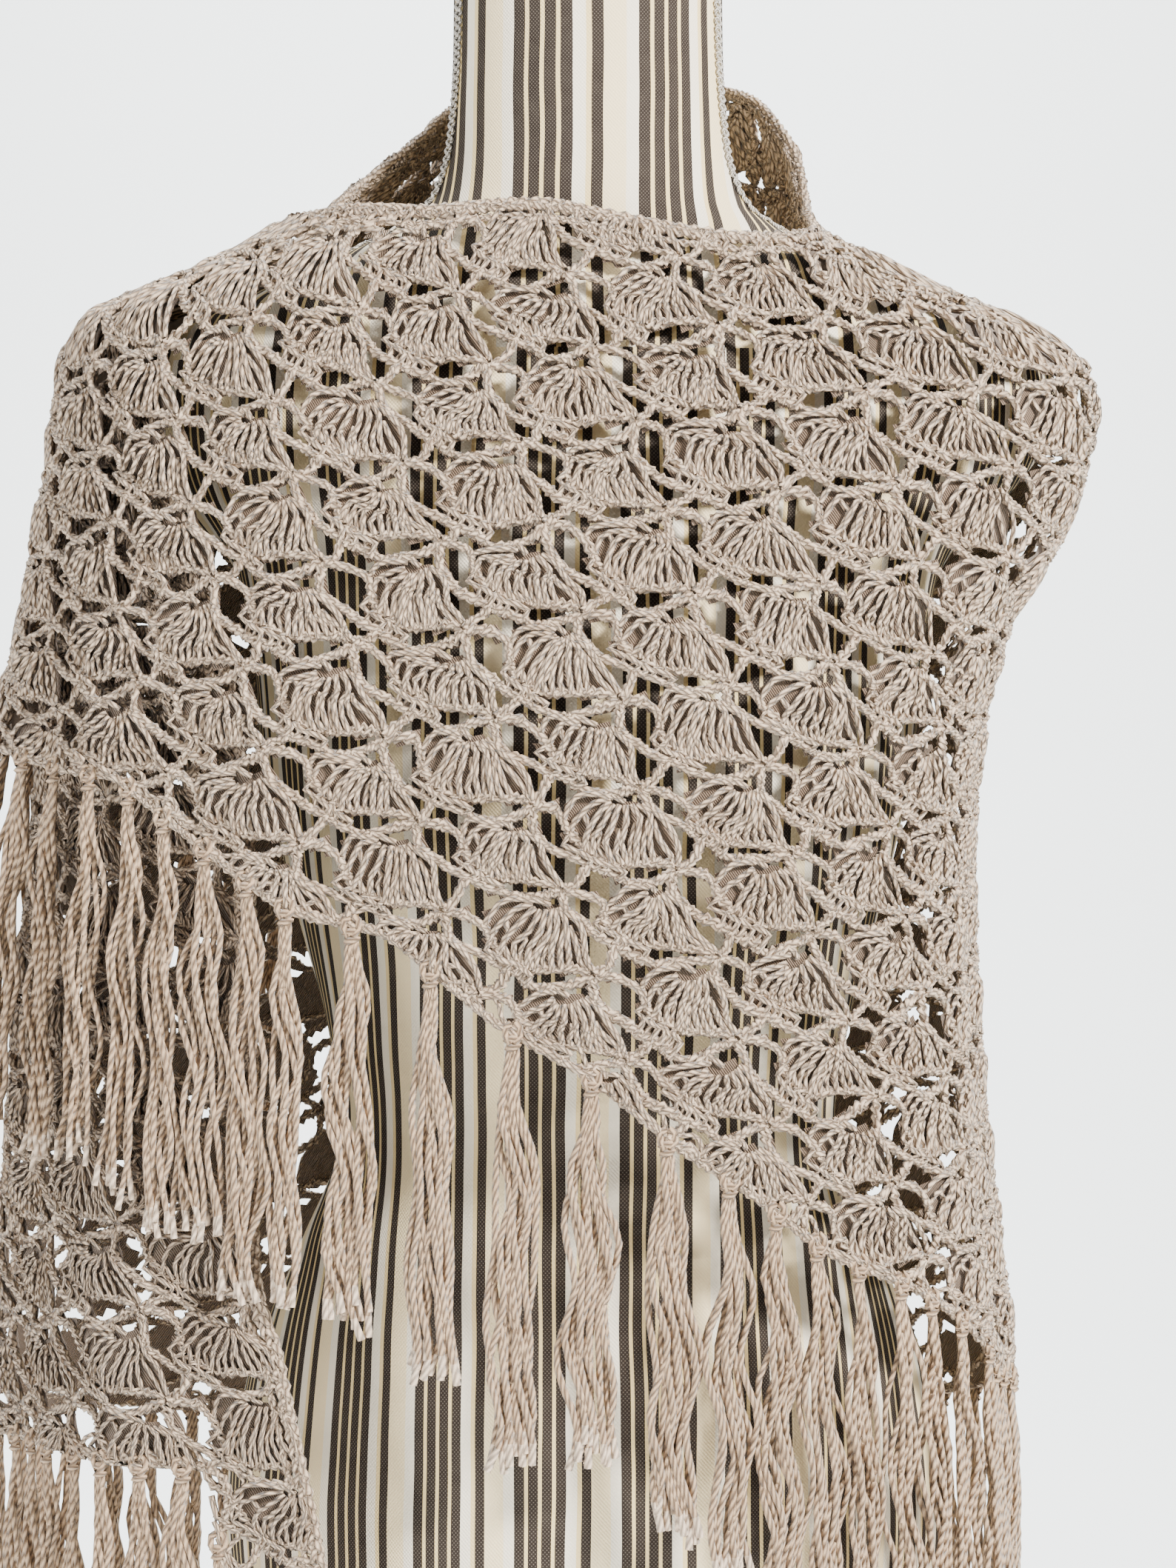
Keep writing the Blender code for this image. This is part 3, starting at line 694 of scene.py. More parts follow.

# %% [markdown]
# ## One fan, drawn point by point
# The lace repeats one shell fan. A chart of the whole shawl would be long, so
# only one fan is drawn, as short yarn runs. Each point is a distance across and
# down from the fan's top and a height off the cloth, all in millimetres.

# %% Posts
# Columns: radius scale, points of (across, down, height). First the posts that
# spread from the centre, then the ones between, the heads and the short ties.
POSTS = (
    (1.10, ((-4.4, 0.2, 1.4), (-1.4, -1.2, 2.8), (2.0, 0.4, 3.2), (5.6, 3.0, 1.8))),
    (1.16, ((0.6, 1.2, 2.2), (-6.4, 0.6, 3.2), (-13.2, 1.8, 2.8), (-17.8, 7.0, 1.2))),
    (1.16, ((-0.4, 3.2, 2.0), (-7.0, 4.4, 3.4), (-13.4, 8.4, 3.0), (-17.2, 14.6, 1.4))),
    (1.16, ((0.2, 4.4, 2.0), (-5.4, 8.4, 3.7), (-9.6, 13.6, 3.2), (-13.2, 20.2, 1.6))),
    (1.16, ((1.6, 5.2, 2.0), (-2.0, 10.6, 3.8), (-6.6, 15.2, 3.4), (-7.6, 23.6, 1.8))),
    (1.16, ((3.6, 5.4, 2.0), (1.6, 11.0, 3.9), (-1.6, 17.4, 3.4), (-1.6, 26.0, 1.8))),
    (1.16, ((5.6, 5.4, 2.0), (5.4, 11.4, 3.8), (3.2, 18.0, 3.4), (4.4, 27.2, 1.8))),
    (1.16, ((7.4, 4.8, 2.0), (9.4, 10.4, 3.7), (8.6, 17.8, 3.3), (10.4, 27.0, 1.8))),
    (1.16, ((9.2, 4.2, 1.9), (13.2, 9.6, 3.5), (14.0, 16.8, 3.1), (16.8, 26.2, 1.8))),
    (1.16, (
        (11.0, 3.4, 1.6), (16.8, 8.4, 2.8), (21.0, 14.8, 2.9), (24.2, 21.2, 2.6),
        (27.2, 27.6, 1.8),
    )),
    (1.15, ((14.8, 11.6, 1.6), (17.8, 17.8, 3.0), (21.8, 23.4, 2.6), (25.8, 28.4, 1.7))),
    (1.15, ((-10.2, 6.6, 1.8), (-8.0, 10.6, 2.6), (-10.8, 15.4, 2.0), (-9.4, 21.6, 2.0))),
    (1.15, ((-4.0, 11.4, 2.0), (-3.0, 14.4, 2.7), (-5.2, 19.2, 2.2), (-3.4, 24.6, 2.0))),
    (1.15, ((3.2, 12.6, 2.0), (2.6, 16.4, 2.7), (0.4, 21.6, 2.2), (1.8, 26.2, 2.0))),
    (1.15, ((8.2, 11.8, 2.0), (6.6, 16.4, 2.7), (6.2, 22.0, 2.2), (7.8, 27.0, 2.0))),
    (1.15, ((12.6, 11.0, 2.0), (11.4, 16.4, 2.6), (12.2, 21.8, 2.2), (13.8, 26.4, 2.0))),
    (1.15, ((-16.4, 13.2, 1.2), (-20.2, 17.2, 2.6), (-15.4, 20.6, 3.0), (-17.6, 26.0, 1.2))),
    (1.15, ((-12.0, 19.0, 1.4), (-15.4, 20.4, 2.8), (-9.8, 24.4, 3.2), (-12.4, 28.8, 1.2))),
    (1.15, ((-6.6, 22.6, 1.4), (-10.2, 23.2, 2.8), (-4.0, 27.4, 3.2), (-6.6, 31.8, 1.2))),
    (1.15, ((-1.0, 25.0, 1.4), (-4.2, 26.4, 2.8), (2.2, 30.0, 3.2), (-1.2, 34.6, 1.2))),
    (1.10, ((-14.0, 16.8, 1.4), (-11.8, 22.6, 2.2), (-15.2, 27.2, 1.2))),
    (1.10, ((-8.4, 21.4, 1.4), (-7.0, 27.0, 2.2), (-10.0, 30.2, 1.2))),
    (1.10, ((-3.0, 24.2, 1.4), (-1.2, 29.4, 2.2), (-4.4, 32.8, 1.2))),
)
print(len(POSTS), "posts in a fan")

# %% Chains and outline
# Points of (across, down, height) along the chain stitches, two strands each.
CHAINS = (
    (
        (-17.0, 13.2, 0.6), (-11.6, 19.8, 0.8), (-4.8, 24.2, 0.9), (3.0, 26.0, 0.9),
        (10.6, 26.2, 0.9), (18.4, 26.4, 1.2), (26.4, 28.8, 1.6),
    ),
    (
        (13.8, -6.6, 1.6), (13.4, -2.0, 1.7), (14.4, 3.0, 1.7), (17.2, 7.4, 1.6),
        (22.0, 11.2, 1.6), (27.2, 14.4, 1.6), (32.5, 17.2, 1.6), (37.9, 19.8, 1.5),
        (43.9, 22.3, 1.4), (49.0, 25.6, 1.4), (54.2, 27.8, 1.4), (60.2, 28.0, 1.5),
    ),
    ((13.8, -6.6, 1.6), (9.0, -4.2, 1.8), (4.2, -2.6, 1.9), (-1.0, -1.4, 1.8), (-4.4, 0.4, 1.4)),
    ((13.8, -6.6, 1.6), (20.2, -5.8, 1.7), (26.2, -3.8, 1.7), (30.6, 0.2, 1.6), (32.4, 5.4, 1.2)),
    ((27.2, 29.2, 1.6), (32.8, 26.4, 1.7), (35.4, 22.4, 1.7), (38.4, 19.6, 1.2)),
)
# Corners of (across, down) round the part that the stitches fill.
FAN_PATCH = (
    (-4.0, -1.8), (4.0, 0.4), (12.0, 3.0), (17.6, 8.4), (21.4, 14.6), (24.6, 21.0), (28.0, 29.0),
    (18.0, 27.4), (10.0, 27.0), (3.0, 27.4), (2.2, 31.8), (-0.6, 34.4), (-6.0, 31.4),
    (-11.6, 28.8), (-18.0, 26.0), (-20.0, 18.6), (-18.8, 12.4), (-18.2, 6.4), (-14.0, 1.0),
    (-8.0, -1.0),
)
print(len(CHAINS), "chains to a fan")

# %% The slanted lattice
# Steps of the lattice on the drape, in metres of place and height.
FAN_ORIGIN = (0.018, 0.871)
ACROSS = (0.0470, 0.0076)
DOWN = (0.0131, -0.0349)
# The same steps in the chart, in millimetres across and up, and across and down.
CHART_ACROSS = (48.9, 7.9)
CHART_DOWN = (13.56, 36.3)
CHART_CELL = CHART_ACROSS[0] * CHART_DOWN[1] + CHART_ACROSS[1] * CHART_DOWN[0]
CELL_AREA = CHART_CELL / 1e6
LATTICE_ROWS = (-14, 20)
# Columns: distance moved, cycles per column, cycles per row, phase.
WARP_PLACE = ((0.0016, 0.43, 0.71, 0.3), (0.0012, 1.21, -0.64, 1.9), (0.0008, 2.3, 1.7, 4.1))
WARP_HEIGHT = ((0.0014, 0.57, -0.49, 2.2), (0.0011, -0.92, 1.13, 5.0), (0.0007, 1.9, -2.2, 0.8))


def lattice_to_cloth(column, row):
    place = FAN_ORIGIN[0] + column * ACROSS[0] + row * DOWN[0]
    height = FAN_ORIGIN[1] + column * ACROSS[1] + row * DOWN[1]
    return place, height


def cloth_to_lattice(place, height):
    x, y = place - FAN_ORIGIN[0], height - FAN_ORIGIN[1]
    whole = ACROSS[0] * DOWN[1] - ACROSS[1] * DOWN[0]
    return (x * DOWN[1] - y * DOWN[0]) / whole, (y * ACROSS[0] - x * ACROSS[1]) / whole


def warped(flat):
    """Points moved a little by broad waves, as hand stitches are never even."""
    column, row = cloth_to_lattice(flat[:, 0], flat[:, 1])
    moved = flat.copy()
    for axis, waves in ((0, WARP_PLACE), (1, WARP_HEIGHT)):
        for size, a, b, phase in waves:
            moved[:, axis] += size * np.sin(2.0 * np.pi * (a * column + b * row) + phase)
    return moved


print("one repeat is", round(CELL_AREA * 1e4, 1), "square centimetres")

# %% One fan
FAN_SINK = 0.0008
FAN_STEP = 0.0042
# Every second post stands this much higher, the others as much lower.
POST_LIFT = 0.0004
CHAIN_STEP = 0.0023
CHAIN_LEAD = 0.0062
CHAIN_RADIUS = 0.00158
CHAIN_SWING = 0.00122
CHAIN_DEPTH = 0.8
# Where each yarn's twist starts, so that neighbours don't match.
POST_START = 0.0031
CHAIN_START = 0.0017
STRAND_START = 0.003


def chart_path(points):
    """A chart run in metres: place, height and distance off the cloth."""
    points = np.array(points)
    across, down = points[:, 0], points[:, 1]
    column = (across * CHART_DOWN[1] - down * CHART_DOWN[0]) / CHART_CELL
    row = (down * CHART_ACROSS[0] + across * CHART_ACROSS[1]) / CHART_CELL
    place = column * ACROSS[0] + row * DOWN[0]
    height = column * ACROSS[1] + row * DOWN[1]
    return np.stack([place, height, points[:, 2] / 1000.0 - FAN_SINK], axis=1)


def twisted_pair(yarn, path, start):
    """Two strands wound round one path, as chain stitch looks."""
    along = path_lengths(path)
    beside = beside_path(path)
    for half in (0.0, 0.5):
        turn = 2.0 * np.pi * (along / CHAIN_LEAD + half)
        moved = path.copy()
        moved[:, :2] += beside * (CHAIN_SWING * np.sin(turn))[:, None]
        moved[:, 2] += CHAIN_DEPTH * CHAIN_SWING * np.cos(turn)
        yarn.add(moved, CHAIN_RADIUS, start=start + half * STRAND_START)


def fan_template():
    fan = Yarn()
    for k, (scale, path) in enumerate(POSTS):
        points = chart_path(path)
        points[1:, 2] += POST_LIFT if k % 2 else -POST_LIFT
        fan.add(smooth_path(points, FAN_STEP), YARN_RADIUS * scale, start=POST_START * k)
    for k, path in enumerate(CHAINS):
        twisted_pair(fan, smooth_path(chart_path(path), CHAIN_STEP), CHAIN_START * k)
    return fan.arrays()


fan = fan_template()
print("one fan has", int(fan[4].sum()), "tube pieces")

# %% [markdown]
# ## Fans over the whole shawl
# The fan could be an instanced object, but a bent cloth needs each copy bent in
# its own way. So its points are copied to every cell of the slanted lattice and
# go through the map together. Yarn that would leave the shawl's outline is
# drawn in to the edge, or left out.

# %% Lay the fans
EDGE_PULL = 0.009
EDGE_INSET = 0.0012
FAN_SHIFT = 0.00017
FAN_START = 0.0013
# On the inner side the stitches point the other way, and are flatter.
INNER_DEPTH = -0.8
INNER_RISE = 0.02
# Columns: piece name, first and last lattice column, node it goes with, tube sides.
FAN_PIECES = (
    ("fans_over_end", -12.5, -5.5, "shawl_over_end", 4),
    ("fans_front_left", -5.5, -0.5, "shawl_front_stretch", 4),
    ("fans_front_right", -0.5, 5.0, "shawl_front_stretch", 4),
    ("fans_back_right", 5.0, 9.5, "shawl_back_stretch", 3),
    ("fans_back_left", 9.5, 13.5, "shawl_back_stretch", 3),
    ("fans_under_end", 13.5, 24.5, "shawl_under_end", 3),
)


def lay_fans(first_column, last_column, lowest=None):
    """Fans of some lattice columns, or only those above a height, on the inner side."""
    flat, radius, length, pale, link = fan
    columns = np.arange(math.ceil(first_column), math.ceil(last_column))
    column, row = np.meshgrid(columns, np.arange(*LATTICE_ROWS), indexing="ij")
    column, row = column.ravel(), row.ravel()
    place, height = lattice_to_cloth(column, row)
    if lowest is not None:
        high = (height > lowest) & (height < table_height(SELVAGE, place) + INNER_RISE)
        place, height, column, row = place[high], height[high], column[high], row[high]
        flat = flat * np.array([1.0, 1.0, INNER_DEPTH])
    count, size = len(place), len(flat)
    points = np.repeat(flat[None], count, axis=0)
    points[:, :, 0] += place[:, None]
    points[:, :, 1] += height[:, None]
    points[:, :, 2] += (FAN_SHIFT * ((7 * column + 3 * row) % 5 - 2))[:, None]
    points = warped(points.reshape(-1, 3)).reshape(count, size, 3)
    x, y = points[:, :, 0], points[:, :, 1]
    top, low, between = edges_at(x)
    top, low = top - EDGE_INSET, low + EDGE_INSET
    inside = (y < top + EDGE_PULL) & (y > low - EDGE_PULL) & (top > low) & between
    points[:, :, 1] = np.clip(y, low, np.maximum(top, low))
    links = np.broadcast_to(link, (count, size)) & inside & np.roll(inside, -1, axis=1)
    moved = np.abs(points[:, :, 1] - y) > 1e-9
    links &= ~(moved & np.roll(moved, -1, axis=1))
    starts = FAN_START * ((column * 5 + row * 3) % 7)
    kept = links.any(axis=1)

    def each_fan(values):
        return np.broadcast_to(values, (count, size))[kept].ravel()

    lengths = each_fan(length[None] + starts[:, None])
    return points[kept].reshape(-1, 3), each_fan(radius), lengths, each_fan(pale), each_fan(links)


yarns = {}
for name, first, last, node, sides in FAN_PIECES:
    piece = yarn_piece(name, lay_fans(first, last), sides, [stitch_yarn])
    yarns.setdefault(node, []).append(piece)

# %% Inner side of the collar
# The collar stands away from the neck, so its inner side shows too.
COLLAR_LOW = 1.000
# Columns: first and last lattice column, node it goes with.
COLLAR_COLUMNS = (
    (3.0, 5.0, "shawl_front_stretch"),
    (5.0, 13.5, "shawl_back_stretch"),
    (13.5, 18.0, "shawl_under_end"),
)
for first, last, node in COLLAR_COLUMNS:
    name = node.replace("shawl", "collar_inside")
    yarns[node].append(yarn_piece(name, lay_fans(first, last, COLLAR_LOW), 3, [stitch_yarn]))

# %% [markdown]
# ## The ground of the lace
# Behind the raised yarn lies a flatter layer of stitches. It could be more
# tubes, but little of it shows, so it is one thin sheet for each stretch. Its
# gaps follow the chart, and light passes through them. Its yarn is painted
# darker than the stitches as shade, and less dark on the collar.

# %% Gaps of one repeat
WEB_ACROSS = 16
WEB_DOWN = 12
# Half the width of the band of stitches under a chain, in millimetres.
CHAIN_BAND = 1.7


def in_polygon(polygon, x, y):
    inside = np.zeros(np.shape(x), dtype=bool)
    for (x0, y0), (x1, y1) in zip(polygon, polygon[1:] + polygon[:1]):
        crosses = (y0 > y) != (y1 > y)
        level = np.where(y1 == y0, 1e-9, y1 - y0)
        inside ^= crosses & (x < (x1 - x0) * (y - y0) / level + x0)
    return inside


def near_line(points, x, y, reach):
    """True where (x, y) is within reach of a line through the points."""
    close = np.zeros(np.shape(x), dtype=bool)
    for a, b in zip(points[:-1], points[1:]):
        along = np.array([b[0] - a[0], b[1] - a[1]])
        share = ((x - a[0]) * along[0] + (y - a[1]) * along[1]) / along.dot(along)
        share = np.clip(share, 0.0, 1.0)
        close |= np.hypot(x - a[0] - share * along[0], y - a[1] - share * along[1]) < reach
    return close


def stitch_mask():
    """Which small faces of one lattice cell carry stitches."""
    column = (np.arange(WEB_ACROSS) + 0.5) / WEB_ACROSS
    row = (np.arange(WEB_DOWN) + 0.5) / WEB_DOWN
    column, row = np.meshgrid(column, row, indexing="ij")
    mask = np.zeros(column.shape, dtype=bool)
    for shift_column in (-1, 0, 1):
        for shift_row in (-1, 0, 1):
            c, r = column + shift_column, row + shift_row
            x = c * CHART_ACROSS[0] + r * CHART_DOWN[0]
            y = -c * CHART_ACROSS[1] + r * CHART_DOWN[1]
            mask |= in_polygon(FAN_PATCH, x, y)
            for chain in CHAINS:
                mask |= near_line(chain, x, y, CHAIN_BAND)
    return mask


mask = stitch_mask()
print("stitches fill", round(float(mask.mean()), 2), "of a repeat")

# %% Ground web
WEB_OUT = -0.0006
WEB_PULL = 0.0034
# Turns of the twist for a metre across the web, and metres along it.
WEB_UV = (300.0, 1.0)
# Columns: stretch, its first and last lattice column, first and last place.
STRETCHES = (
    ("over_end", -12.5, -5.5, -0.540, -0.225),
    ("front_stretch", -5.5, 5.0, -0.225, 0.348),
    ("back_stretch", 5.0, 13.5, 0.348, 0.823),
    ("under_end", 13.5, 24.0, 0.823, 1.043),
)


def web_arrays(first_column, last_column):
    """Flat points and faces of a stretch, its stitches' area and its flat box."""
    first = int(round(first_column * WEB_ACROSS))
    last = int(round(last_column * WEB_ACROSS))
    columns = np.arange(first, last + 1)
    rows = np.arange(LATTICE_ROWS[0] * WEB_DOWN, LATTICE_ROWS[1] * WEB_DOWN + 1)
    c, r = np.meshgrid(columns / WEB_ACROSS, rows / WEB_DOWN, indexing="ij")
    place, height = lattice_to_cloth(c, r)
    grid = warped(np.stack([place.ravel(), height.ravel()], axis=1))
    place, height = grid[:, 0].reshape(c.shape), grid[:, 1].reshape(c.shape)
    top, low, between = edges_at(place)
    pulled = np.clip(height, low, np.maximum(top, low))
    near = between & (np.abs(pulled - height) < WEB_PULL)
    i, j = np.meshgrid(np.arange(len(columns) - 1), np.arange(len(rows) - 1), indexing="ij")
    wanted = near[:-1, :-1] & near[1:, :-1] & near[:-1, 1:] & near[1:, 1:]
    wide = int(wanted.any(axis=1).sum())
    deep = int(wanted.sum(axis=1).max())
    wanted &= mask[(columns[i] % WEB_ACROSS), (rows[j] % WEB_DOWN)]
    area = float(wanted.sum() * CELL_AREA / (WEB_ACROSS * WEB_DOWN))
    a = i[wanted] * len(rows) + j[wanted]
    b = a + len(rows)
    quads = np.stack([a, b, b + 1, a + 1], axis=-1)
    flat = np.stack([place.ravel(), pulled.ravel(), np.full(place.size, WEB_OUT)], axis=1)
    width = wide / WEB_ACROSS * math.hypot(*CHART_ACROSS) / 1000.0
    length = deep / WEB_DOWN * math.hypot(*CHART_DOWN) / 1000.0
    return flat, quads, area, width, length


for stretch, first, last, *places in STRETCHES:
    flat, quads, area, width, length = web_arrays(first, last)
    used = np.unique(quads)
    points = np.zeros((len(flat), 3))
    points[used] = drape.points(flat[used])
    web_uv = flat[quads][:, ::-1, :2] * np.array(WEB_UV)
    # Web faces on the collar take the lighter painted shade, the rest the darker one.
    on_collar = points[quads].mean(axis=1)[:, 2] > COLLAR_LOW
    web = build_mesh(
        "web_" + stretch, points, quads[:, ::-1], [web_shade_yarn, collar_web_shade_yarn], web_uv, on_collar
    )
    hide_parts("shawl_" + stretch)
    print("its cut is", round(area, 3), "m2 of", round(width, 2), "by", round(length, 2), "m")

# %% [markdown]
# ## Selvage rope and fringed edge
# The edges could be plain tubes, but crocheted edges are ropes. Their strands
# weave from side to side and in and out as sines. The straight edge is a braid
# of three beside a thin pair, and the fringed one a pair with a looping yarn.

# %% Edge ropes
ROPE_STEP = 0.0034
ROPE_RADIUS = 0.00155
# Columns: edge, strands, radius, swing to the side, swing outward, length of a
# turn, distance off the edge, distance off the cloth.
EDGE_ROPES = (
    (SELVAGE, 3, ROPE_RADIUS, 0.0021, 0.0011, 0.019, -0.0012, 0.0010),
    (SELVAGE, 2, YARN_RADIUS, 0.0011, 0.0007, 0.011, -0.0068, 0.0008),
    (FRINGED_EDGE, 2, YARN_RADIUS * 1.25, 0.0013, 0.0008, 0.010, 0.0010, 0.0008),
    (FRINGED_EDGE, 1, YARN_RADIUS, 0.0030, 0.0006, 0.020, 0.0058, 0.0010),
)
STRAND_SHIFT = 0.002


def even_path(table, step):
    """A table's curve at even steps, the way beside it and the length along it."""
    curve = smooth_path(np.array(table), step)
    lengths = path_lengths(curve)
    wanted = np.arange(0.0, lengths[-1], step)
    path = np.stack([np.interp(wanted, lengths, curve[:, k]) for k in (0, 1)], axis=1)
    return path, beside_path(path), wanted


def add_rope(yarn, first, last, table, strands, radius, wide, thick, lead, inward, out):
    path, beside, along = even_path(table, ROPE_STEP)
    kept = (path[:, 0] >= first) & (path[:, 0] < last)
    path, beside, along = path[kept], beside[kept], along[kept]
    for k in range(strands):
        phase = 2.0 * np.pi * (along / lead + k / strands)
        off = wide * np.sin(phase) + inward
        depth = out + thick * np.sin(2.0 * phase)
        flat = np.column_stack([path + beside * off[:, None], depth])
        yarn.add(flat, radius, start=STRAND_SHIFT * k)


for stretch, *columns, first, last in STRETCHES:
    ropes = Yarn()
    for row in EDGE_ROPES:
        add_rope(ropes, first, last, *row)
    piece = yarn_piece("edges_" + stretch, ropes.arrays(), 5, [stitch_yarn])
    yarns["shawl_" + stretch].append(piece)

# %% [markdown]
# ## Tassels
# Hair particles would be quick, but their strands can't be checked or exported
# well. So each tassel is a few tubes from one knot: yarns that hang down the
# cloth, spread a little, wave, and end at slightly different lengths in a paler
# frayed cut. A seeded generator varies them the same way every time.

# %% One tassel
TASSEL_LENGTH = 0.165
TASSEL_STEP = 0.0088
TASSEL_RADIUS = 0.00142
TASSEL_SIDES = 4
END_RADIUS = 0.0017
TOP_RADIUS = 0.0009
# Half the width of the yarns at the knot, and what each yarn adds lower down.
GATHERED = 0.0014
TASSEL_SPREAD = 0.00046
FRAY_LENGTH = 0.010
CRIMP_LENGTH = 0.058
CRIMP_DEPTH = 0.0012
TASSEL_OUT = 0.0010
SWING_TURNS = 2.1
DRIFT_BEND = 1.3
YARN_START = 0.004
# Spread of the normal draws: metres for the first four, shares for the last two.
STRAY_PLACE = 0.0010
STRAY_LEAN = 0.0022
STRAY_SIDE = 0.0012
STRAY_DRIFT = 0.0017
STRAY_TASSEL_LENGTH = 0.035
STRAY_YARN_LENGTH = 0.022
# Lowest and highest value of the even draws.
SWING_RANGE = (0.0010, 0.0024)
WAVE_RANGE = (0.0008, 0.0030)
CRIMP_RANGE = (0.8, 1.25)
OUT_RANGE = (-0.0016, 0.0020)
# The knot. Columns of a coil: distance down, half width, thickness.
COILS = ((0.0012, 0.0034, 0.0017), (0.0046, 0.0028, 0.0016))
COIL_SLANT = 0.0009
COIL_OUT = (0.0030, 0.0022)
COIL_TAPER = 0.35
# Points of (across, up, out) of the loop over the edge, drawn on both sides.
LOOP = (
    (0.0006, 0.0050, 0.0016), (0.0028, 0.0036, 0.0022),
    (0.0030, 0.0002, 0.0024), (0.0008, -0.0030, 0.0026),
)
LOOP_RADIUS = TASSEL_RADIUS * 1.1
WHOLE_TURN = 2.0 * np.pi
chance = np.random.default_rng(71)


def add_knot(yarn, place, top):
    across = np.linspace(-1.0, 1.0, 5)
    for lower, wide, thick in COILS:
        y = top - lower + COIL_SLANT * across
        out = COIL_OUT[0] - COIL_OUT[1] * across**2
        coil = np.column_stack([place + wide * across, y, out])
        yarn.add(coil, thick * (1.0 - COIL_TAPER * across**2))
    side, up, out = np.array(LOOP).T
    for sign in (-1.0, 1.0):
        yarn.add(np.column_stack([place + sign * side, top + up, out]), LOOP_RADIUS)


def add_tassel(yarn, place, top, strands):
    lean = chance.normal(0.0, STRAY_LEAN)
    whole_length = TASSEL_LENGTH * (1.0 + chance.normal(0.0, STRAY_TASSEL_LENGTH))
    count = int(round(TASSEL_LENGTH / TASSEL_STEP))
    t = np.arange(count + 1) / count
    opened = smooth(t * 5.0)
    sway = chance.uniform(0.0, WHOLE_TURN)
    swing = chance.uniform(*SWING_RANGE)
    for k in range(strands):
        length = whole_length * (1.0 + chance.normal(0.0, STRAY_YARN_LENGTH))
        side = (k / (strands - 1) - 0.5) * 2.0
        spread = side * TASSEL_SPREAD * strands + chance.normal(0.0, STRAY_SIDE)
        wave = chance.uniform(*WAVE_RANGE)
        drift = chance.normal(0.0, STRAY_DRIFT)
        crimps = length / CRIMP_LENGTH * chance.uniform(*CRIMP_RANGE)
        crimp = chance.uniform(0.0, WHOLE_TURN) + WHOLE_TURN * crimps * t
        x = place + side * GATHERED + spread * smooth(t * 2.2) + lean * t
        x = x + swing * np.sin(sway + WHOLE_TURN * SWING_TURNS * t) * opened
        x = x + wave * np.sin(crimp) * opened
        x = x + drift * np.sin(np.pi * t * DRIFT_BEND) * opened
        out = chance.uniform(*OUT_RANGE) * smooth(t * 4.0) + TASSEL_OUT
        out = out + CRIMP_DEPTH * np.cos(crimp) * opened
        radius = np.full(len(t), TASSEL_RADIUS)
        radius[0], radius[-1] = TOP_RADIUS, END_RADIUS
        pale = (length * (1.0 - t) < FRAY_LENGTH).astype(float)
        path = np.column_stack([x, top - length * t, out])
        yarn.add(path, radius, start=YARN_START * k, pale=pale)
    add_knot(yarn, place, top)


print("a tassel is", TASSEL_LENGTH, "m long")

# %% Hang the fringe
# Columns: node, node of its cloth, then runs of first place, last place, tassels
# and yarns in each.
FRINGES = (
    ("fringe_over_end", "shawl_over_end", ((-0.500, -0.228, 13, 9),)),
    ("fringe_front", "shawl_front_stretch",
     ((-0.222, -0.112, 6, 9), (-0.112, 0.050, 5, 13), (0.050, 0.345, 16, 10))),
    ("fringe_back", "shawl_back_stretch", ((0.351, 0.820, 24, 9),)),
    ("fringe_under_end", "shawl_under_end", ((0.826, 1.030, 12, 8),)),
)
for node, cloth, runs in FRINGES:
    yarn = Yarn()
    for first, last, tassels, strands in runs:
        pitch = (last - first) / tassels
        for k in range(tassels):
            place = first + (k + 0.5) * pitch + chance.normal(0.0, STRAY_PLACE)
            add_tassel(yarn, place, float(table_height(FRINGED_EDGE, place)), strands)
    piece = yarn_piece(node + "_yarn", yarn.arrays(), TASSEL_SIDES, [tassel_yarn, cut_yarn])
    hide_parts(node)
    yarns[cloth].append(piece)

# %% [markdown]
# ## The cut of each stretch
# A real shawl is one piece of cloth. Each stretch's flat width, length and
# stitch area are printed with its web above, and its yarn pieces are gathered
# under its part's name as they are built.

# %% [markdown]
# ## The dress form's cover
# The CAD torso has flat facets. Smooth shading alone would leave its outline
# cornered, so a finer one is lofted through the same slices, with sewn seams
# pressed in down the sides, the front and the back.

# %% Slices of the form
# Columns: height, half width, depth in front, depth behind.
FORM_SLICES = (
    (0.372, 0.122, 0.078, 0.092),
    (0.380, 0.146, 0.096, 0.111),
    (0.400, 0.159, 0.107, 0.123),
    (0.440, 0.163, 0.110, 0.126),
    (0.500, 0.153, 0.105, 0.116),
    (0.560, 0.129, 0.095, 0.099),
    (0.610, 0.111, 0.088, 0.088),
    (0.660, 0.118, 0.098, 0.095),
    (0.700, 0.129, 0.112, 0.108),
    (0.740, 0.139, 0.125, 0.118),
    (0.780, 0.147, 0.133, 0.124),
    (0.820, 0.150, 0.130, 0.127),
    (0.860, 0.158, 0.122, 0.125),
    (0.885, 0.180, 0.115, 0.121),
    (0.905, 0.198, 0.107, 0.116),
    (0.925, 0.210, 0.100, 0.112),
    (0.943, 0.212, 0.093, 0.107),
    (0.957, 0.201, 0.086, 0.101),
    (0.971, 0.180, 0.080, 0.096),
    (0.985, 0.150, 0.075, 0.091),
    (0.998, 0.121, 0.069, 0.086),
    (1.010, 0.093, 0.063, 0.079),
    (1.025, 0.072, 0.058, 0.071),
    (1.050, 0.064, 0.056, 0.062),
    (1.090, 0.061, 0.055, 0.057),
    (1.130, 0.0605, 0.055, 0.056),
)
FORM_SQUARENESS = 2.1
FORM_SIDES = 88
FORM_STEP = 0.008
SEAM_DEPTH = 0.0007
SEAM_WIDTH = 0.035
SEAM_ANGLES = (-math.pi / 2, 0.0, math.pi / 2, math.pi)
# The ends are closed by rings that shrink to this share.
CLOSED_RING = 0.06
form_heights, form_columns = eased_columns(FORM_SLICES, FORM_STEP)


def half_turn(angle):
    """The same angle between minus and plus half a turn."""
    return np.mod(angle + np.pi, 2.0 * np.pi) - np.pi


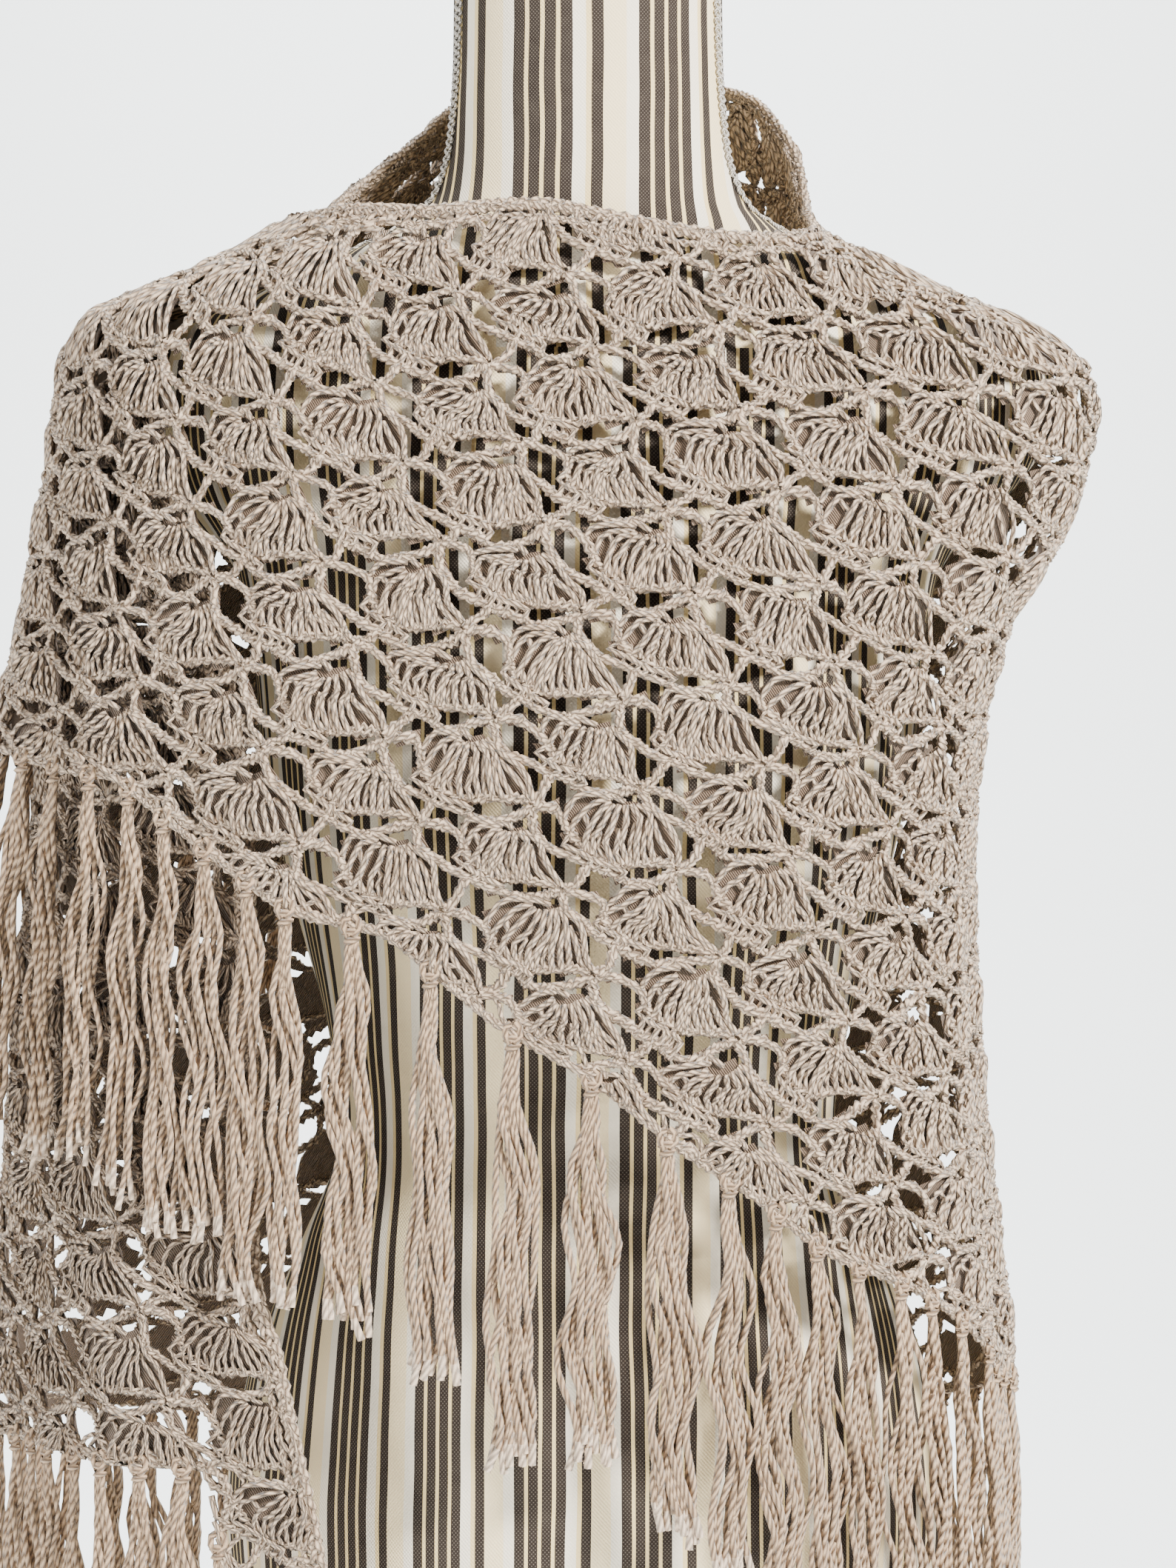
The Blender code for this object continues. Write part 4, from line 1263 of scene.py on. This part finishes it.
def form_point(height, angle, out=0.0):
    sizes = [np.interp(height, form_heights, form_columns[:, k]) for k in range(3)]
    wrapped = half_turn(angle)
    x, y = rounded(np.abs(wrapped), *sizes, FORM_SQUARENESS)
    x = x * np.sign(wrapped + 1e-12)
    size = np.hypot(x, y)
    grow = (size + out) / np.maximum(size, 1e-9)
    return np.stack([x * grow, y * grow, np.broadcast_to(height, np.shape(x))], axis=-1)


print("form levels", len(form_heights))

# %% Form cover
top_height = FORM_SLICES[-1][0]
heights = np.append(form_heights[form_heights < top_height - 1e-6], top_height)
turns = 2.0 * np.pi * np.arange(FORM_SIDES) / FORM_SIDES
grid_height, grid_turn = np.meshgrid(heights, turns, indexing="ij")
press = np.zeros(grid_turn.shape)
for seam in SEAM_ANGLES:
    press -= SEAM_DEPTH * np.exp(-((half_turn(grid_turn - seam) / SEAM_WIDTH) ** 2))
skin = form_point(grid_height, grid_turn, press)
lower, upper = [
    ring.mean(axis=0) + (ring - ring.mean(axis=0)) * CLOSED_RING for ring in (skin[0], skin[-1])
]
skin = np.concatenate([lower[None], skin, upper[None]])
i, j = np.meshgrid(np.arange(len(skin) - 1), np.arange(FORM_SIDES), indexing="ij")
a = (i * FORM_SIDES + j).ravel()
b = (i * FORM_SIDES + (j + 1) % FORM_SIDES).ravel()
quads = np.stack([a, b, b + FORM_SIDES, a + FORM_SIDES], axis=-1)
body = build_mesh("form_cover", skin.reshape(-1, 3), quads, [ticking])
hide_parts("form_body")

# %% [markdown]
# ## Braid on the neck
# A looped braid hides the neck's side seams. It could be a strip with a relief,
# but it stands up off the cloth, so each side has two waved cords that cross.

# %% Neck braid
BRAID_FROM = 1.000
BRAID_TO = 1.129
BRAID_STEP = 0.0008
BRAID_RADIUS = 0.0008
BRAID_REPEAT = 0.0075
# Angle of the braid from the middle of the front, at its foot and at its top.
BRAID_ANGLES = (1.28, 1.18)
BRAID_SWING = 0.052
BRAID_RISE = 0.0006
BRAID_OUT = 0.0012
trim = Yarn()
levels = np.arange(BRAID_FROM, BRAID_TO, BRAID_STEP)
lean = np.interp(levels, (1.0, 1.13), BRAID_ANGLES)
wave = 2.0 * np.pi * levels / BRAID_REPEAT
for side in (-1.0, 1.0):
    for sign in (-1.0, 1.0):
        swing = BRAID_SWING * np.sin(wave) * sign
        rise = BRAID_RISE * np.cos(wave) * sign
        trim.add(form_point(levels, side * (lean + swing), BRAID_OUT + rise), BRAID_RADIUS)
yarn_piece("neck_braid_trim", trim.arrays(), 5, [trim_yarn], bend=False)

# %% [markdown]
# ## Stage, light and camera
# The photo shows a pale wall with no line where a floor begins. A floor and a
# wall would meet in one, so paper runs back, bends up in a quarter circle and
# stands behind. One bright source at the front right gives the yarn its relief,
# a broad weak one fills the other side, and a third lights the paper alone. The
# camera's place and lens were found by laying the shawl's outlines over the photo.

# %% Paper sweep
SWEEP_FRONT = -5.5
SWEEP_BEND = 2.6
SWEEP_RADIUS = 2.2
SWEEP_TOP = 5.5
SWEEP_HALF_WIDTH = 5.5
SWEEP_ARC_POINTS = 49
PAPER_TONES = ((0.84, 0.87, 0.875), (0.87, 0.895, 0.90))
turn = np.linspace(0.0, np.pi / 2.0, SWEEP_ARC_POINTS)
arc_back = SWEEP_BEND + SWEEP_RADIUS * np.sin(turn)
arc_up = SWEEP_RADIUS * (1.0 - np.cos(turn))
profile = np.vstack([
    [[SWEEP_FRONT, 0.0]],
    np.column_stack([arc_back, arc_up]),
    [[SWEEP_BEND + SWEEP_RADIUS, SWEEP_TOP]],
])
sides = (-SWEEP_HALF_WIDTH, SWEEP_HALF_WIDTH)
sweep_points = [(x, y, z) for y, z in profile.tolist() for x in sides]
k = 2 * np.arange(len(profile) - 1)
sweep_quads = np.stack([k, k + 1, k + 3, k + 2], axis=-1)
paper = Finish("pale_paper")
paper_tone = paper.mix(paper.noise(30.0), *PAPER_TONES)
mesh = bpy.data.meshes.new("sweep")
mesh.from_pydata(sweep_points, [], sweep_quads.tolist())
mesh.polygons.foreach_set("use_smooth", np.ones(len(sweep_quads), dtype=bool))
mesh.materials.append(paper.finished(paper_tone, 0.95))
place_in_scene("sweep", mesh)

# %% Lights
# Columns: name, place, point it aims at, size, power, colour.
LIGHTS = (
    ("key", (1.6, -1.65, 1.95), (0.0, 0.0, 0.75), 0.45, 196.0, (1.0, 0.965, 0.92)),
    ("fill", (-1.9, -1.6, 1.1), (0.0, 0.0, 0.8), 1.6, 68.0, (1.0, 0.985, 0.96)),
    ("wall_wash", (0.0, 1.6, 3.4), (0.0, 4.4, 0.7), 2.8, 520.0, (0.985, 1.0, 0.995)),
)
ROOM_COLOUR = (1.0, 0.98, 0.955, 1.0)
ROOM_STRENGTH = 0.34
for name, place, aim, size, power, colour in LIGHTS:
    data = bpy.data.lights.new(name, "AREA")
    data.size, data.energy, data.color = size, power, colour
    light = place_in_scene(name, data)
    light.location = place
    way = mathutils.Vector(aim) - mathutils.Vector(place)
    light.rotation_euler = way.to_track_quat("-Z", "Y").to_euler()
world = bpy.data.worlds.new("room")
bpy.context.scene.world = world
world.use_nodes = True
background = world.node_tree.nodes["Background"]
background.inputs["Color"].default_value = ROOM_COLOUR
background.inputs["Strength"].default_value = ROOM_STRENGTH
print("lights", len(LIGHTS))

# %% Camera
camera_data = bpy.data.cameras.new("camera")
camera_data.sensor_fit = "VERTICAL"
camera_data.sensor_height = 36.0
camera_data.lens = 71.15
camera = place_in_scene("camera", camera_data)
camera.location = (0.0, -1.4, 0.765)
camera.rotation_euler = (math.pi / 2.0, 0.0, 0.0)
bpy.context.scene.camera = camera
print("camera at", tuple(camera.location))
